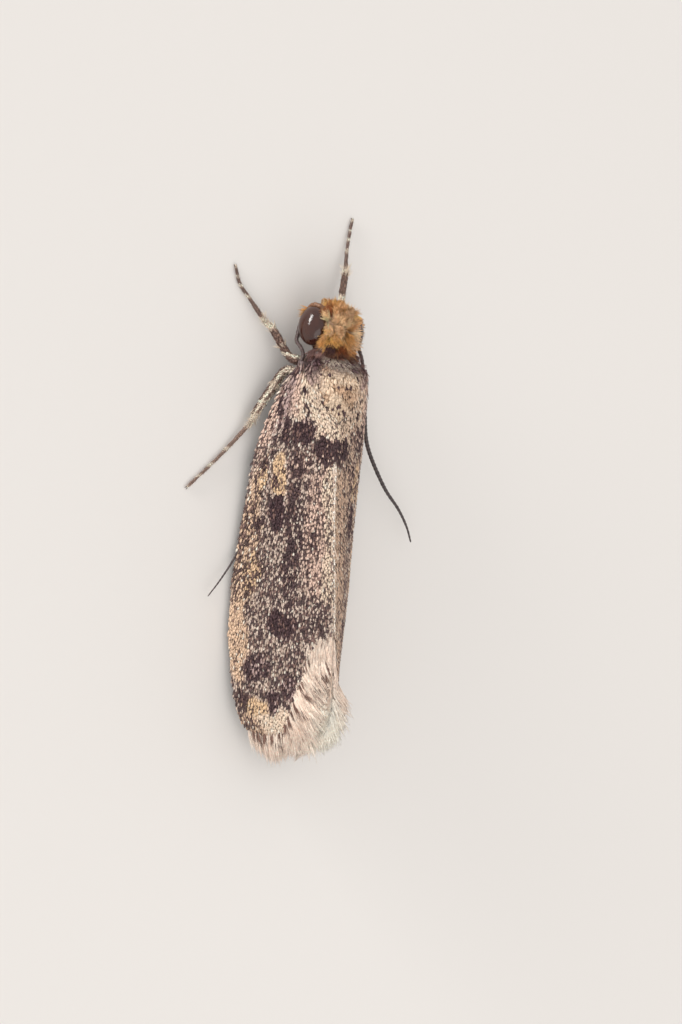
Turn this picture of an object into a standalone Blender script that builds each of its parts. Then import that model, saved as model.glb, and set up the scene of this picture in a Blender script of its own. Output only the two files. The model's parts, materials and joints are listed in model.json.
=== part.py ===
"""A small moth of the clothes-moth family (Tineidae) at rest, 10 mm from head to fringe.

The solids stand in one frame: -Y is forward, +X is the moth's left, +Z is up and the floor is z = 0.
Every shape is worked out in millimetres as (across, back, up), where back is the distance behind the
front of the head, and is turned into metres when its object is made.
"""

import functools
import math

import bmesh
import bpy
import numpy as np
from mathutils import Matrix

MM = 0.001  # metres in a millimetre
ORIGIN_BACK = 4.0  # the origin lies this far behind the front of the head
GAP = 0.03  # left between neighbouring solids
PLATE = 0.48  # thickness of the wings
LIMB = 0.24  # radius of the legs
FEELER = 0.23  # radius of the antennae
REST = 0.21  # height of a leg's middle line where it rests, which planes a narrow flat under it
ROOT_TAPER = 0.70  # share of a feeler's radius at its root
TIP_TAPER = 0.60  # share of a limb's radius at its tip

LIMB_SIDES = 8
LIMB_STEPS = 3  # rings between two points of a limb's middle line
WING_POINTS = 10  # along each side of a wing's section
BODY_SIDES = 24
RAY_STEPS = 80  # along each ray that shapes the body
RIM_REACH = 0.12  # how far before and behind a limb a wing's rim is lifted
SECTION_REACH = 0.06  # how far before and behind a section of the body its neighbours count
OUTER_SHARE, INNER_SHARE = 0.62, 0.90  # most of a wing's half width that its two depths may take

# Outline of the folded forewings, as (back, value).
WING_SPAN = (1.42, 9.95)
WING_HALF_WIDTH = (
    (1.5, 0.90), (2.2, 1.12), (2.7, 1.22), (3.5, 1.34), (4.4, 1.39), (5.3, 1.43), (6.2, 1.46),
    (7.0, 1.44), (7.8, 1.35), (8.4, 1.24), (8.9, 1.10), (9.3, 0.90), (9.6, 0.68), (9.8, 0.46), (9.95, 0.24),
)
WING_RIDGE = (
    (1.5, 1.50), (2.7, 1.50), (3.5, 1.53), (4.3, 1.61), (5.2, 1.79), (6.1, 1.98), (7.0, 2.16),
    (7.8, 2.30), (8.4, 2.38), (8.9, 2.34), (9.3, 2.12), (9.6, 1.74), (9.8, 1.36), (9.95, 0.98),
)
WING_COSTA = (
    (1.5, 0.90), (2.2, 0.60), (2.7, 0.46), (3.5, 0.30), (4.4, 0.24), (8.4, 0.25), (9.4, 0.40), (9.95, 0.62),
)
WING_INNER_EDGE = ((1.4, 0.60), (1.9, 0.46), (2.3, 0.26), (2.7, GAP / 2), (9.95, GAP / 2))
# 0.5 is a round arch, and 1 a straight roof.
WING_ARCH = (
    (1.5, 0.54), (2.7, 0.56), (3.5, 0.66), (4.4, 0.76), (6.0, 0.80), (7.8, 0.78), (9.0, 0.60), (9.95, 0.50),
)
HINDWING_SPAN = (6.55, 8.90)
HINDWING_FLOOR = 0.56  # lowest edge of the hindwings, above the hind legs
FOREWING = (WING_SPAN, (0.0, PLATE), 0.0)  # span, outer and inner depth, lowest rim
HINDWING = (HINDWING_SPAN, (PLATE + 1.5 * GAP, 2 * PLATE + GAP), HINDWING_FLOOR)

# The body, as (back, half width, middle height, half height).
HEAD = (
    (0.02, 0.16, 1.00, 0.14), (0.14, 0.40, 1.00, 0.33), (0.38, 0.58, 0.99, 0.45),
    (0.70, 0.65, 0.97, 0.49), (0.98, 0.61, 0.96, 0.46), (1.20, 0.50, 0.95, 0.40),
)
THORAX = (
    (1.23, 0.50, 0.95, 0.42), (1.45, 0.70, 0.97, 0.53), (1.85, 0.80, 0.98, 0.55),
    (2.40, 0.78, 0.94, 0.54), (2.90, 0.66, 0.84, 0.46), (3.25, 0.54, 0.74, 0.38),
)
ABDOMEN = (
    (3.28, 0.42, 0.54, 0.25), (4.10, 0.44, 0.58, 0.28), (4.90, 0.46, 0.64, 0.31),
    (5.70, 0.45, 0.68, 0.33), (6.30, 0.34, 0.60, 0.26), (6.75, 0.22, 0.44, 0.13), (7.10, 0.10, 0.40, 0.08),
)
EYE_CENTRE = (0.48, 0.62, 0.87)
EYE_RADII = (0.30, 0.43, 0.39)

# Middle lines from the root to the tip, as (across, back, up).
PALP_RADIUS = 0.17
PALPS = {
    "palp_left": ((0.20, 0.34, 0.74), (0.21, 0.14, 0.73), (0.23, -0.02, 0.69)),
    "palp_right": ((-0.20, 0.34, 0.74), (-0.21, 0.14, 0.73), (-0.23, -0.02, 0.69)),
}
ANTENNAE = {
    "antenna_left": (
        (0.60, -0.10, 0.90), (0.86, 0.10, 0.64), (0.94, 0.35, 0.52), (1.01, 0.62, 0.61), (1.02, 0.85, 0.70),
        (0.98, 1.08, 0.76), (0.95, 1.40, 0.79), (0.98, 1.75, 0.78), (1.04, 2.10, 0.75), (1.12, 2.80, 0.56),
        (1.17, 3.60, 0.32), (1.21, 4.60, 0.28), (1.28, 5.20, 0.28), (1.46, 5.70, 0.28), (1.76, 6.20, 0.28),
        (2.03, 6.55, 0.28),
    ),
    "antenna_right": (
        (-0.60, -0.10, 0.90), (-0.86, 0.10, 0.60), (-0.93, 0.40, 0.42), (-0.93, 0.70, 0.42),
        (-0.90, 1.00, 0.52), (-0.90, 1.30, 0.74), (-0.97, 1.70, 0.79), (-1.02, 2.05, 0.78),
        (-1.10, 2.40, 0.72), (-1.34, 3.05, 0.54), (-1.93, 3.84, 0.42), (-2.41, 4.30, 0.34),
        (-2.72, 4.66, 0.30), (-2.86, 5.00, 0.30),
    ),
}
LEGS = {
    "leg_fore_left": (
        (0.30, 1.46, 0.36), (0.73, 1.30, 0.25), (1.20, 0.79, 0.24), (1.70, 0.25, REST), (2.13, -0.44, REST),
    ),
    "leg_mid_left": (
        (0.30, 2.20, 0.34), (0.84, 2.04, 0.25), (1.44, 2.72, 0.24), (1.76, 3.28, REST),
        (2.20, 3.79, REST), (2.73, 4.34, REST),
    ),
    "leg_hind_left": (
        (0.30, 2.94, 0.32), (0.58, 3.50, 0.25), (0.62, 4.30, REST), (0.64, 5.30, REST),
        (0.64, 6.20, REST), (0.60, 7.00, REST),
    ),
    "leg_fore_right": (
        (-0.30, 1.46, 0.38), (-0.37, 0.70, 0.27), (-0.40, 0.00, 0.26), (-0.48, -0.60, 0.24),
        (-0.54, -1.08, REST), (-0.63, -1.80, REST),
    ),
    "leg_mid_right": (
        (-0.30, 2.20, 0.34), (-0.94, 1.74, 0.25), (-1.06, 2.50, 0.24), (-1.10, 3.30, REST),
        (-1.12, 4.10, REST), (-1.12, 4.70, REST),
    ),
    "leg_hind_right": (
        (-0.30, 2.94, 0.32), (-0.52, 3.50, 0.25), (-0.56, 4.30, REST), (-0.56, 5.30, REST),
        (-0.58, 6.20, REST), (-0.58, 7.00, REST),
    ),
}

COLOURS = {  # linear base colour and roughness
    "hair": ((0.37, 0.18, 0.09), 0.9),
    "eye": ((0.10, 0.06, 0.055), 0.25),
    "cream_scales": ((0.50, 0.36, 0.26), 0.8),
    "mottled_scales": ((0.24, 0.16, 0.13), 0.75),
    "hindwing_scales": ((0.30, 0.25, 0.22), 0.75),
    "banded_scales": ((0.16, 0.11, 0.10), 0.75),
    "feeler": ((0.09, 0.06, 0.06), 0.7),
}


def along(table, back):
    """The smooth value of each column of table at a distance back."""
    knots = np.array(table, dtype=float)
    place, values = knots[:, 0], knots[:, 1:]
    slopes = np.gradient(values, place, axis=0)
    back = float(np.clip(back, place[0], place[-1]))
    i = int(np.clip(np.searchsorted(place, back) - 1, 0, len(place) - 2))
    step = place[i + 1] - place[i]
    t = (back - place[i]) / step
    start, end = values[i], values[i + 1]
    rise, fall = slopes[i] * step, slopes[i + 1] * step
    result = (
        (2 * t**3 - 3 * t**2 + 1) * start
        + (t**3 - 2 * t**2 + t) * rise
        + (3 * t**2 - 2 * t**3) * end
        + (t**3 - t**2) * fall
    )
    return result if len(result) > 1 else float(result[0])


def smooth_path(points, per_span):
    """A Catmull-Rom line through points, with per_span steps between neighbours."""
    knots = np.array(points, dtype=float)
    padded = np.vstack((2 * knots[0] - knots[1], knots, 2 * knots[-1] - knots[-2]))
    line = []
    for i in range(1, len(padded) - 2):
        before, start, end, after = padded[i - 1 : i + 3]
        for t in np.linspace(0, 1, per_span, endpoint=False):
            line.append(
                0.5 * (2 * start + (end - before) * t
                       + (2 * before - 5 * start + 4 * end - after) * t**2
                       + (3 * start - before - 3 * end + after) * t**3)
            )
    line.append(knots[-1])
    return np.array(line)


def loft(name, rings):
    """A closed body through rings of equal length, each a list of (across, back, up)."""
    mesh = bmesh.new()
    made = [[mesh.verts.new(point) for point in ring] for ring in rings]
    count = len(made[0])
    for ring, following in zip(made, made[1:]):
        for i in range(count):
            j = (i + 1) % count
            mesh.faces.new((ring[i], ring[j], following[j], following[i]))
    mesh.faces.new(reversed(made[0]))
    mesh.faces.new(made[-1])
    bmesh.ops.triangulate(mesh, faces=mesh.faces)
    bmesh.ops.recalc_face_normals(mesh, faces=mesh.faces)
    data = bpy.data.meshes.new(name)
    mesh.to_mesh(data)
    mesh.free()
    return data


def tube(name, points, radius, root=1.0):
    """A round limb along points, thinner at its root. Its underside is planed level with the floor."""
    line = smooth_path(points, LIMB_STEPS)
    directions = np.gradient(line, axis=0)
    directions /= np.linalg.norm(directions, axis=1)[:, None]
    rings = []
    for number, (centre, forward) in enumerate(zip(line, directions)):
        side = np.cross(forward, (0, 0, 1))
        side /= np.linalg.norm(side)
        up = np.cross(side, forward)
        swell = root + (1 - root) * number / (2 * LIMB_STEPS)
        own = radius * (min(1, swell) if number < len(line) - 1 else TIP_TAPER)
        ring = []
        for i in range(LIMB_SIDES):
            angle = 2 * math.pi * (i + 0.5) / LIMB_SIDES
            point = centre + own * (math.cos(angle) * side + math.sin(angle) * up)
            point[2] = max(point[2], 0)
            ring.append(point)
        rings.append(ring)
    return loft(name, rings)


@functools.cache
def limbs():
    """The middle line and radius of every limb."""
    groups = ((PALPS, PALP_RADIUS), (ANTENNAE, FEELER), (LEGS, LIMB))
    return [(smooth_path(points, 8), radius) for group, radius in groups for points in group.values()]


def stations(span, count, crowding=0.35):
    """Distances back along a span, closer together at both ends."""
    phase = np.linspace(0, math.pi, count)
    share = crowding * (1 - np.cos(phase)) / 2 + (1 - crowding) * phase / math.pi
    return span[0] + (span[1] - span[0]) * share


def wing_profile(back):
    """The outer side of the left wing's section, from its inner edge to the costa, as (across, up)."""
    half_width, ridge = along(WING_HALF_WIDTH, back), along(WING_RIDGE, back)
    costa, arch = along(WING_COSTA, back), along(WING_ARCH, back)
    inner = max(along(WING_INNER_EDGE, back), GAP / 2)
    across = inner + (half_width - inner) * np.sin(np.linspace(0, math.pi / 2, 4 * WING_POINTS))
    up = costa + (ridge - costa) * np.maximum(1 - across / half_width, 0) ** arch
    return np.column_stack((across, up))


@functools.cache
def rim_height(side, back):
    """How high a wing's lower rim stands at a distance back, to clear the limbs that pass under it."""
    profile = wing_profile(back)
    half_width, height = profile[-1]
    for line, radius in limbs():
        near = line[np.abs(line[:, 1] - back) < radius + RIM_REACH]
        for across, _, up in near:
            reach = side * across
            if half_width - PLATE < reach + radius + GAP and reach - radius - GAP < half_width:
                height = max(height, up + radius + GAP)
    return height


def inset(profile, depth, least_across, least_up):
    """The line at a depth inside a profile, ended at the rim and the middle plane."""
    tangent = np.gradient(profile, axis=0)
    normal = np.column_stack((-tangent[:, 1], tangent[:, 0]))
    normal /= np.linalg.norm(normal, axis=1)[:, None]
    moved = profile - depth * normal
    moved[:, 0] = np.maximum.accumulate(moved[:, 0])
    moved[:, 1] = np.minimum.accumulate(moved[:, 1])
    lengths = np.concatenate(([0], np.cumsum(np.linalg.norm(np.diff(moved, axis=0), axis=1))))
    start, end = 0.0, lengths[-1]
    if moved[0, 0] < least_across:
        start = float(np.interp(least_across, moved[:, 0], lengths))
    if moved[-1, 1] < least_up:
        end = float(np.interp(-least_up, -moved[:, 1], lengths))
    wanted = np.linspace(start, max(end, start + 0.05), WING_POINTS)
    return np.column_stack([np.interp(wanted, lengths, moved[:, k]) for k in (0, 1)])


def plate_section(side, back, depths, floor, grow=0.0):
    """A wing's section between two depths inside the roof, as a closed line of (across, up) on the left."""
    profile = wing_profile(back)
    room = profile[-1, 0] - GAP / 2
    least_up = max(rim_height(side, back), floor) - grow
    least_across = max(GAP / 2 - grow, 0)
    outer = inset(profile, min(depths[0], OUTER_SHARE * room) - grow, least_across, least_up)
    inner = inset(profile, min(depths[1], INNER_SHARE * room) + grow, least_across, least_up)
    return np.vstack((outer, inner[::-1]))


def wing_plate(name, side, span, depths, floor, count):
    """A curved plate between two depths inside the roof of the folded wings."""
    rings = []
    for back in stations(span, count):
        section = plate_section(side, back, depths, floor)
        rings.append([(side * across, back, up) for across, up in section])
    return loft(name, rings)


def inside(polygon, points):
    """Which points lie within a closed line, by counting crossings."""
    found = np.zeros(len(points), dtype=bool)
    for (x0, y0), (x1, y1) in zip(polygon, np.roll(polygon, -1, axis=0)):
        spans = (y0 > points[:, 1]) != (y1 > points[:, 1])
        rise = y1 - y0 if y1 != y0 else 1.0
        found ^= spans & (points[:, 0] < x0 + (x1 - x0) * (points[:, 1] - y0) / rise)
    return found


def body_length(name, table, ring_count):
    """One length of the body, oval in section and cut flat at both ends.

    Each ray of a section stops short of the wings and limbs that lie against the body.
    """
    shares = np.linspace(0.06, 1, RAY_STEPS)
    rings = []
    for back in np.linspace(table[0][0], table[-1][0], ring_count):
        half_width, middle, half_height = along(table, back)
        plates = []
        for span, depths, floor in (FOREWING, HINDWING):
            for at in (back - SECTION_REACH, back, back + SECTION_REACH):
                if span[0] - GAP < at < span[1] + GAP:
                    plates += [(side, plate_section(side, at, depths, floor, GAP)) for side in (1, -1)]
        ring = []
        for angle in np.linspace(0, 2 * math.pi, BODY_SIDES, endpoint=False):
            across = shares * half_width * math.cos(angle)
            up = middle + shares * half_height * math.sin(angle)
            blocked = np.zeros(len(shares), dtype=bool)
            for line, radius in limbs():
                points = np.column_stack((across, np.full_like(across, back), up))
                away = np.linalg.norm(points[:, None, :] - line[None, :, :], axis=2).min(axis=1)
                blocked |= away < radius + GAP
            for side, polygon in plates:
                blocked |= inside(polygon, np.column_stack((side * across, up)))
            last = max(int(np.argmax(blocked)) - 1, 0) if blocked.any() else len(shares) - 1
            ring.append((across[last], back, up[last]))
        rings.append(ring)
    return loft(name, rings)


def eye(name, side, grow):
    """A compound eye as an ellipsoid, set in the side of the head."""
    mesh = bmesh.new()
    bmesh.ops.create_uvsphere(mesh, u_segments=16, v_segments=10, radius=1)
    radii = [radius + grow for radius in EYE_RADII]
    bmesh.ops.transform(mesh, matrix=Matrix.Diagonal((*radii, 1)), verts=mesh.verts)
    centre = (side * EYE_CENTRE[0], EYE_CENTRE[1], EYE_CENTRE[2])
    bmesh.ops.translate(mesh, vec=centre, verts=mesh.verts)
    bmesh.ops.triangulate(mesh, faces=mesh.faces)
    data = bpy.data.meshes.new(name)
    mesh.to_mesh(data)
    mesh.free()
    return data


def subtract(data, cutter):
    """The mesh left of data when cutter is taken out of it."""
    body = bpy.data.objects.new("body", data)
    tool = bpy.data.objects.new("tool", cutter)
    for item in (body, tool):
        bpy.context.collection.objects.link(item)
    cut = body.modifiers.new("cut", "BOOLEAN")
    cut.operation = "DIFFERENCE"
    cut.solver = "EXACT"
    cut.object = tool
    bpy.context.view_layer.update()
    evaluated = body.evaluated_get(bpy.context.evaluated_depsgraph_get())
    result = bpy.data.meshes.new_from_object(evaluated)
    for item in (body, tool):
        bpy.data.objects.remove(item)
    return result


def head():
    """The head, with a socket cut for each eye."""
    data = body_length("head", HEAD, 17)
    for side in (1, -1):
        data = subtract(data, eye("socket", side, GAP))
    return data


def parts():
    """Each part's name, colour and mesh."""
    for label, side in (("left", 1), ("right", -1)):
        yield f"eye_{label}", "eye", eye("eye", side, 0)
        yield f"forewing_{label}", "mottled_scales", wing_plate("forewing", side, *FOREWING, 24)
        yield f"hindwing_{label}", "hindwing_scales", wing_plate("hindwing", side, *HINDWING, 10)
    for name, points in PALPS.items():
        yield name, "hair", tube(name, points, PALP_RADIUS)
    for name, points in ANTENNAE.items():
        yield name, "feeler", tube(name, points, FEELER, ROOT_TAPER)
    for name, points in LEGS.items():
        yield name, "banded_scales", tube(name, points, LIMB)
    yield "head", "hair", head()
    yield "thorax", "cream_scales", body_length("thorax", THORAX, 27)
    yield "abdomen", "cream_scales", body_length("abdomen", ABDOMEN, 17)


def material(name):
    colour, roughness = COLOURS[name]
    made = bpy.data.materials.new(name)
    made.use_nodes = True
    shader = made.node_tree.nodes["Principled BSDF"]
    shader.inputs["Base Color"].default_value = (*colour, 1)
    shader.inputs["Roughness"].default_value = roughness
    return made


def build():
    for item in list(bpy.data.objects):
        bpy.data.objects.remove(item)
    materials = {name: material(name) for name in COLOURS}
    moth = bpy.data.objects.new("moth", None)
    moth.location = (0, -ORIGIN_BACK * MM, 0)
    bpy.context.collection.objects.link(moth)
    for name, colour, data in parts():
        data.transform(Matrix.Scale(MM, 4))
        data.name = name
        data.materials.clear()
        data.materials.append(materials[colour])
        data.shade_smooth()
        item = bpy.data.objects.new(name, data)
        item.parent = moth
        bpy.context.collection.objects.link(item)


build()
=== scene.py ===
"""A small moth of the clothes-moth family (Tineidae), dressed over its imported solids.

Shapes are worked out in millimetres as (across, back, up), as in the part's source: across is the
moth's left, back is the distance behind the front of the head, and up is the height over the floor.
"""

import json
import math

import bmesh
import bpy
import numpy as np
from mathutils import Matrix, Vector
from mathutils.bvhtree import BVHTree

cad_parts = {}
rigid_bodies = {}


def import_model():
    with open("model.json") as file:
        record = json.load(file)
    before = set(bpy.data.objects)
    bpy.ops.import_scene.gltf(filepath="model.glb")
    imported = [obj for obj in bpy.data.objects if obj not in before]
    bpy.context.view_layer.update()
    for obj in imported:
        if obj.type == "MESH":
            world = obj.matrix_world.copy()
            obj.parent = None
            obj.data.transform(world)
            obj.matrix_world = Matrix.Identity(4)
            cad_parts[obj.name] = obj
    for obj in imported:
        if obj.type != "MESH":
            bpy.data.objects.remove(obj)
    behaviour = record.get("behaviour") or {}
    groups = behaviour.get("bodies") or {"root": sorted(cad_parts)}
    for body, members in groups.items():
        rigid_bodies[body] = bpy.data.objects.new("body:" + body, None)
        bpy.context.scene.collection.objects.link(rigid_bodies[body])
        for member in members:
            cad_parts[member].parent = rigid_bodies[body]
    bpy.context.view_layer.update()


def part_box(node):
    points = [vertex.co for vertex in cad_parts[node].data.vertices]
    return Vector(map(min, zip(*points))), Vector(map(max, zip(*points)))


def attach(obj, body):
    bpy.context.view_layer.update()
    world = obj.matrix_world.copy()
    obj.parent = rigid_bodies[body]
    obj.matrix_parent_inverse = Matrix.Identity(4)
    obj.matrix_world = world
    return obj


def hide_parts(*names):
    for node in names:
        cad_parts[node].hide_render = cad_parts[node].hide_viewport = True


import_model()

# --- Forewing membranes -----------------------------------------------------------------------
# The two forewings are films of chitin stiffened by veins, folded over the back like a roof. Each
# is hinged under the front of the thorax, and its hind edge meets the other's along the ridge.
# They come first, because the body has to fit under them.

MM = 0.001
CAD_HEAD_START = 0.02  # how far behind the front of the hair the solid head begins
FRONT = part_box("head")[0].y / MM - CAD_HEAD_START  # the row frame's y where back is 0, in mm
SIDES = ((1, "left"), (-1, "right"))
WING_SPAN = (1.42, 9.80)
HALF_GAP = 0.015  # between the ridge and either wing
HALF_WIDTH = (
    (1.5, 0.90), (2.2, 1.12), (2.7, 1.22), (3.5, 1.34), (4.4, 1.39), (5.3, 1.43), (6.2, 1.46),
    (7.0, 1.44), (7.8, 1.35), (8.4, 1.24), (8.9, 1.10), (9.3, 0.90), (9.6, 0.68), (9.8, 0.46), (9.95, 0.24),
)
RIDGE = (
    (1.5, 1.50), (2.7, 1.50), (3.5, 1.53), (4.3, 1.61), (5.2, 1.79), (6.1, 1.98), (7.0, 2.16),
    (7.8, 2.30), (8.4, 2.38), (8.9, 2.34), (9.3, 2.12), (9.6, 1.74), (9.8, 1.36), (9.95, 0.98),
)
COSTA = (
    (1.5, 0.90), (2.2, 0.60), (2.7, 0.46), (3.5, 0.30), (4.4, 0.24), (8.4, 0.25), (9.4, 0.40), (9.95, 0.62),
)
INNER_EDGE = ((1.4, 0.60), (1.9, 0.46), (2.3, 0.26), (2.7, HALF_GAP), (9.95, HALF_GAP))
ARCH = (  # 0.5 is a round arch, and 1 a straight roof
    (1.5, 0.54), (2.7, 0.56), (3.5, 0.66), (4.4, 0.76), (6.0, 0.80), (7.8, 0.78), (9.0, 0.60), (9.95, 0.50),
)
WING_COAT = 0.045  # depth of the scales over a wing
FRONT_DIP, TAIL_DIP = 0.12, 0.20  # how far the film sinks under the shoulders and under the fringe
MEMBRANE = 0.05  # thickness of a wing's film
WING_GIRTH = 2.6  # width of a wing from its ridge to its costa, measured round the arch
TERMEN = (  # where the scales give way to the fringe
    (0.0, 6.90), (0.12, 7.00), (0.20, 7.20), (0.25, 7.45), (0.29, 7.85), (0.34, 8.15), (0.39, 8.60),
    (0.45, 9.06), (0.60, 9.36), (0.85, 9.40), (1.0, 9.36),
)


def along(table, place):
    """The smooth value of a table at one place or several."""
    knots = np.array(table, dtype=float)
    at, values = knots[:, 0], knots[:, 1:]
    slopes = np.gradient(values, at, axis=0)
    place = np.clip(np.asarray(place, dtype=float), at[0], at[-1])
    i = np.clip(np.searchsorted(at, place) - 1, 0, len(at) - 2)
    step = (at[i + 1] - at[i])[..., None]
    t = (place - at[i])[..., None] / step
    result = (
        (2 * t**3 - 3 * t**2 + 1) * values[i]
        + (t**3 - 2 * t**2 + t) * slopes[i] * step
        + (3 * t**2 - 2 * t**3) * values[i + 1]
        + (t**3 - t**2) * slopes[i + 1] * step
    )
    return result if values.shape[1] > 1 else result[..., 0]


def smoothstep(low, high, value):
    """A smooth ramp from 0 at low to 1 at high."""
    t = np.clip((np.asarray(value, dtype=float) - low) / (high - low), 0, 1)
    return t * t * (3 - 2 * t)


def wing_surface(share, back):
    """Points on the left wing's outer side. share runs from 0 at the ridge to 1 at the costa."""
    share, back = (np.ravel(a).astype(float) for a in np.broadcast_arrays(share, back))
    half, ridge, costa, arch = (along(t, back)[:, None] for t in (HALF_WIDTH, RIDGE, COSTA, ARCH))
    inner = np.maximum(along(INNER_EDGE, back), HALF_GAP)[:, None]
    across = inner + (half - inner) * np.sin(np.linspace(0, math.pi / 2, 64))[None]
    up = costa + (ridge - costa) * np.maximum(1 - across / half, 0) ** arch
    length = np.cumsum(np.hypot(np.diff(across), np.diff(up)), axis=1)
    length = np.hstack((np.zeros((len(length), 1)), length))
    wanted = np.clip(share, 0, 1) * length[:, -1]
    i = np.clip((length < wanted[:, None]).sum(axis=1) - 1, 0, length.shape[1] - 2)
    row = np.arange(len(i))
    part = (wanted - length[row, i]) / (length[row, i + 1] - length[row, i])
    x = across[row, i] + part * (across[row, i + 1] - across[row, i])
    z = up[row, i] + part * (up[row, i + 1] - up[row, i])
    return np.column_stack((x, back, z))


def unit(vectors):
    """Vectors stretched or shrunk to a length of 1."""
    return vectors / np.maximum(np.linalg.norm(vectors, axis=-1, keepdims=True), 1e-12)


def wing_frame(share, back):
    """The point, outward normal, backward direction and costal direction of the left wing's surface."""
    share, back = (np.ravel(a).astype(float) for a in np.broadcast_arrays(share, back))
    nudge = 0.012
    low, high = np.maximum(share - nudge, 0), np.minimum(share + nudge, 1)
    costal = unit(wing_surface(high, back) - wing_surface(low, back))
    backward = unit(wing_surface(share, back + nudge) - wing_surface(share, back - nudge))
    normal = unit(np.cross(costal, backward))
    return wing_surface(share, back), normal, backward, unit(np.cross(backward, normal))


def film_depth(share, back):
    """How far the film lies below the wing's outer side."""
    tucked = (1 - smoothstep(1.42, 1.75, back)) * (1 - smoothstep(0.35, 0.75, share))
    return WING_COAT + FRONT_DIP * tucked + TAIL_DIP * smoothstep(9.0, 9.8, back)


def mesh_object(name, points, faces, smooth=True):
    """An object whose mesh is in the row frame, from points in millimetres."""
    places = (np.asarray(points, dtype=float) + (0, FRONT, 0)) * MM
    data = bpy.data.meshes.new(name)
    data.from_pydata(places.tolist(), [], [list(map(int, face)) for face in faces])
    data.update()
    if smooth:
        data.shade_smooth()
    made = bpy.data.objects.new(name, data)
    bpy.context.scene.collection.objects.link(made)
    return made


def linear(text):
    """An sRGB hex colour in linear light."""
    values = np.array([int(text[i : i + 2], 16) for i in (1, 3, 5)]) / 255
    return np.where(values <= 0.04045, values / 12.92, ((values + 0.055) / 1.055) ** 2.4)


def paint(made, colours):
    """Stores one linear colour for each point as the tint that the materials read."""
    tint = made.data.attributes.new("tint", "FLOAT_COLOR", "POINT")
    tint.data.foreach_set("color", np.column_stack((colours, np.ones(len(colours)))).ravel())


def mix(colour, other, weight):
    """A colour moved towards another by one weight for each point."""
    return colour + np.reshape(weight, (-1, 1)) * (other - colour)


def soft_noise(x, y, cell, seed):
    """Smooth noise from 0 to 1 over a plane, with bumps about one cell wide."""
    values = np.random.default_rng(seed).random((64, 64))
    x, y = np.asarray(x) / cell + 17.3, np.asarray(y) / cell + 31.7
    i, j = np.floor(x).astype(int), np.floor(y).astype(int)
    u, v = x - i, y - j
    u, v = u * u * (3 - 2 * u), v * v * (3 - 2 * v)
    corner = [[values[(i + a) % 64, (j + b) % 64] for b in (0, 1)] for a in (0, 1)]
    low = corner[0][0] * (1 - u) + corner[1][0] * u
    high = corner[0][1] * (1 - u) + corner[1][1] * u
    return low * (1 - v) + high * v


PALE = {
    "cream": linear("#FFE5CD"), "ochre": linear("#F8D4AC"), "pink": linear("#F1D0BE"),
    "mauve": linear("#CDB0AA"), "peach": linear("#F0CEB0"), "grey": linear("#E7D1C1"),
    "tan": linear("#E4C1A4"),
}
UMBER, BLACK_BROWN, MID_BROWN = linear("#584042"), linear("#3D2B31"), linear("#886A62")
TAUPE = linear("#A88D7D")
# The wing's marks, each as share, back, reach in share, reach back, lean, amount of dark scales and
# the colour of the pale ones. Later marks lie over earlier ones.
MARKS = (
    (0.10, 4.90, 0.24, 1.60, 0.00, 0.37, "pink"),
    (0.90, 5.20, 0.12, 1.60, 0.00, 0.47, "peach"),
    (0.25, 1.90, 0.48, 0.80, 0.00, 0.06, "cream"),
    (0.12, 2.82, 0.19, 0.32, 0.00, 0.05, "cream"),
    (0.62, 2.00, 0.14, 0.50, 0.05, 0.14, "pink"),
    (0.78, 2.20, 0.16, 0.75, 0.02, 0.30, "mauve"),
    (0.93, 2.70, 0.10, 0.80, 0.00, 0.28, "pink"),
    (0.62, 3.80, 0.09, 0.52, -0.02, 0.20, "ochre"),
    (0.83, 3.90, 0.06, 0.36, 0.05, 0.20, "ochre"),
    (0.80, 5.90, 0.10, 0.60, 0.00, 0.50, "ochre"),
    (0.93, 7.30, 0.13, 0.95, 0.00, 0.10, "peach"),
    (0.82, 9.20, 0.26, 0.42, 0.00, 0.42, "peach"),
    (0.72, 8.76, 0.15, 0.24, 0.00, 0.12, "ochre"),
    (0.52, 9.04, 0.22, 0.34, 0.00, 0.0, "cream"),
    (0.05, 4.60, 0.07, 2.70, 0.00, 0.24, "cream"),
    (0.43, 2.80, 0.15, 0.25, 0.04, 0.98, "mauve"),
    (0.65, 2.88, 0.06, 0.28, 0.00, 0.90, "mauve"),
    (0.11, 3.17, 0.21, 0.29, 0.05, 0.95, "pink"),
    (0.42, 3.58, 0.13, 0.28, 0.00, 0.74, "pink"),
    (0.60, 4.60, 0.085, 0.36, -0.03, 0.99, "mauve"),
    (0.42, 5.30, 0.09, 1.40, -0.01, 0.82, "grey"),
    (0.21, 5.22, 0.035, 0.22, -0.02, 0.85, "pink"),
    (0.68, 3.85, 0.04, 0.16, 0.00, 0.80, "ochre"),
    (0.83, 3.66, 0.035, 0.20, 0.10, 0.80, "ochre"),
    (0.17, 6.80, 0.17, 0.48, 0.00, 0.62, "grey"),
    (0.47, 6.95, 0.15, 0.28, 0.00, 0.98, "mauve"),
    (0.72, 7.85, 0.12, 0.26, 0.00, 0.84, "mauve"),
    (0.40, 8.18, 0.08, 0.30, 0.00, 0.74, "mauve"),
    (0.56, 8.52, 0.07, 0.22, 0.03, 0.84, "mauve"),
    (0.89, 8.56, 0.08, 0.15, 0.00, 0.85, "ochre"),
    (0.82, 2.38, 0.05, 0.22, 0.00, 0.85, "mauve"),
    (0.75, 1.46, 0.40, 0.16, 0.00, 0.78, "mauve"),
    (0.80, 4.84, 0.04, 0.12, 0.00, 0.80, "peach"),
    (0.41, 1.94, 0.06, 0.09, 0.00, 0.95, "cream"),
    (0.40, 2.40, 0.05, 0.09, 0.00, 0.90, "cream"),
    (0.08, 2.28, 0.05, 0.09, 0.00, 0.90, "cream"),
)


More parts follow.
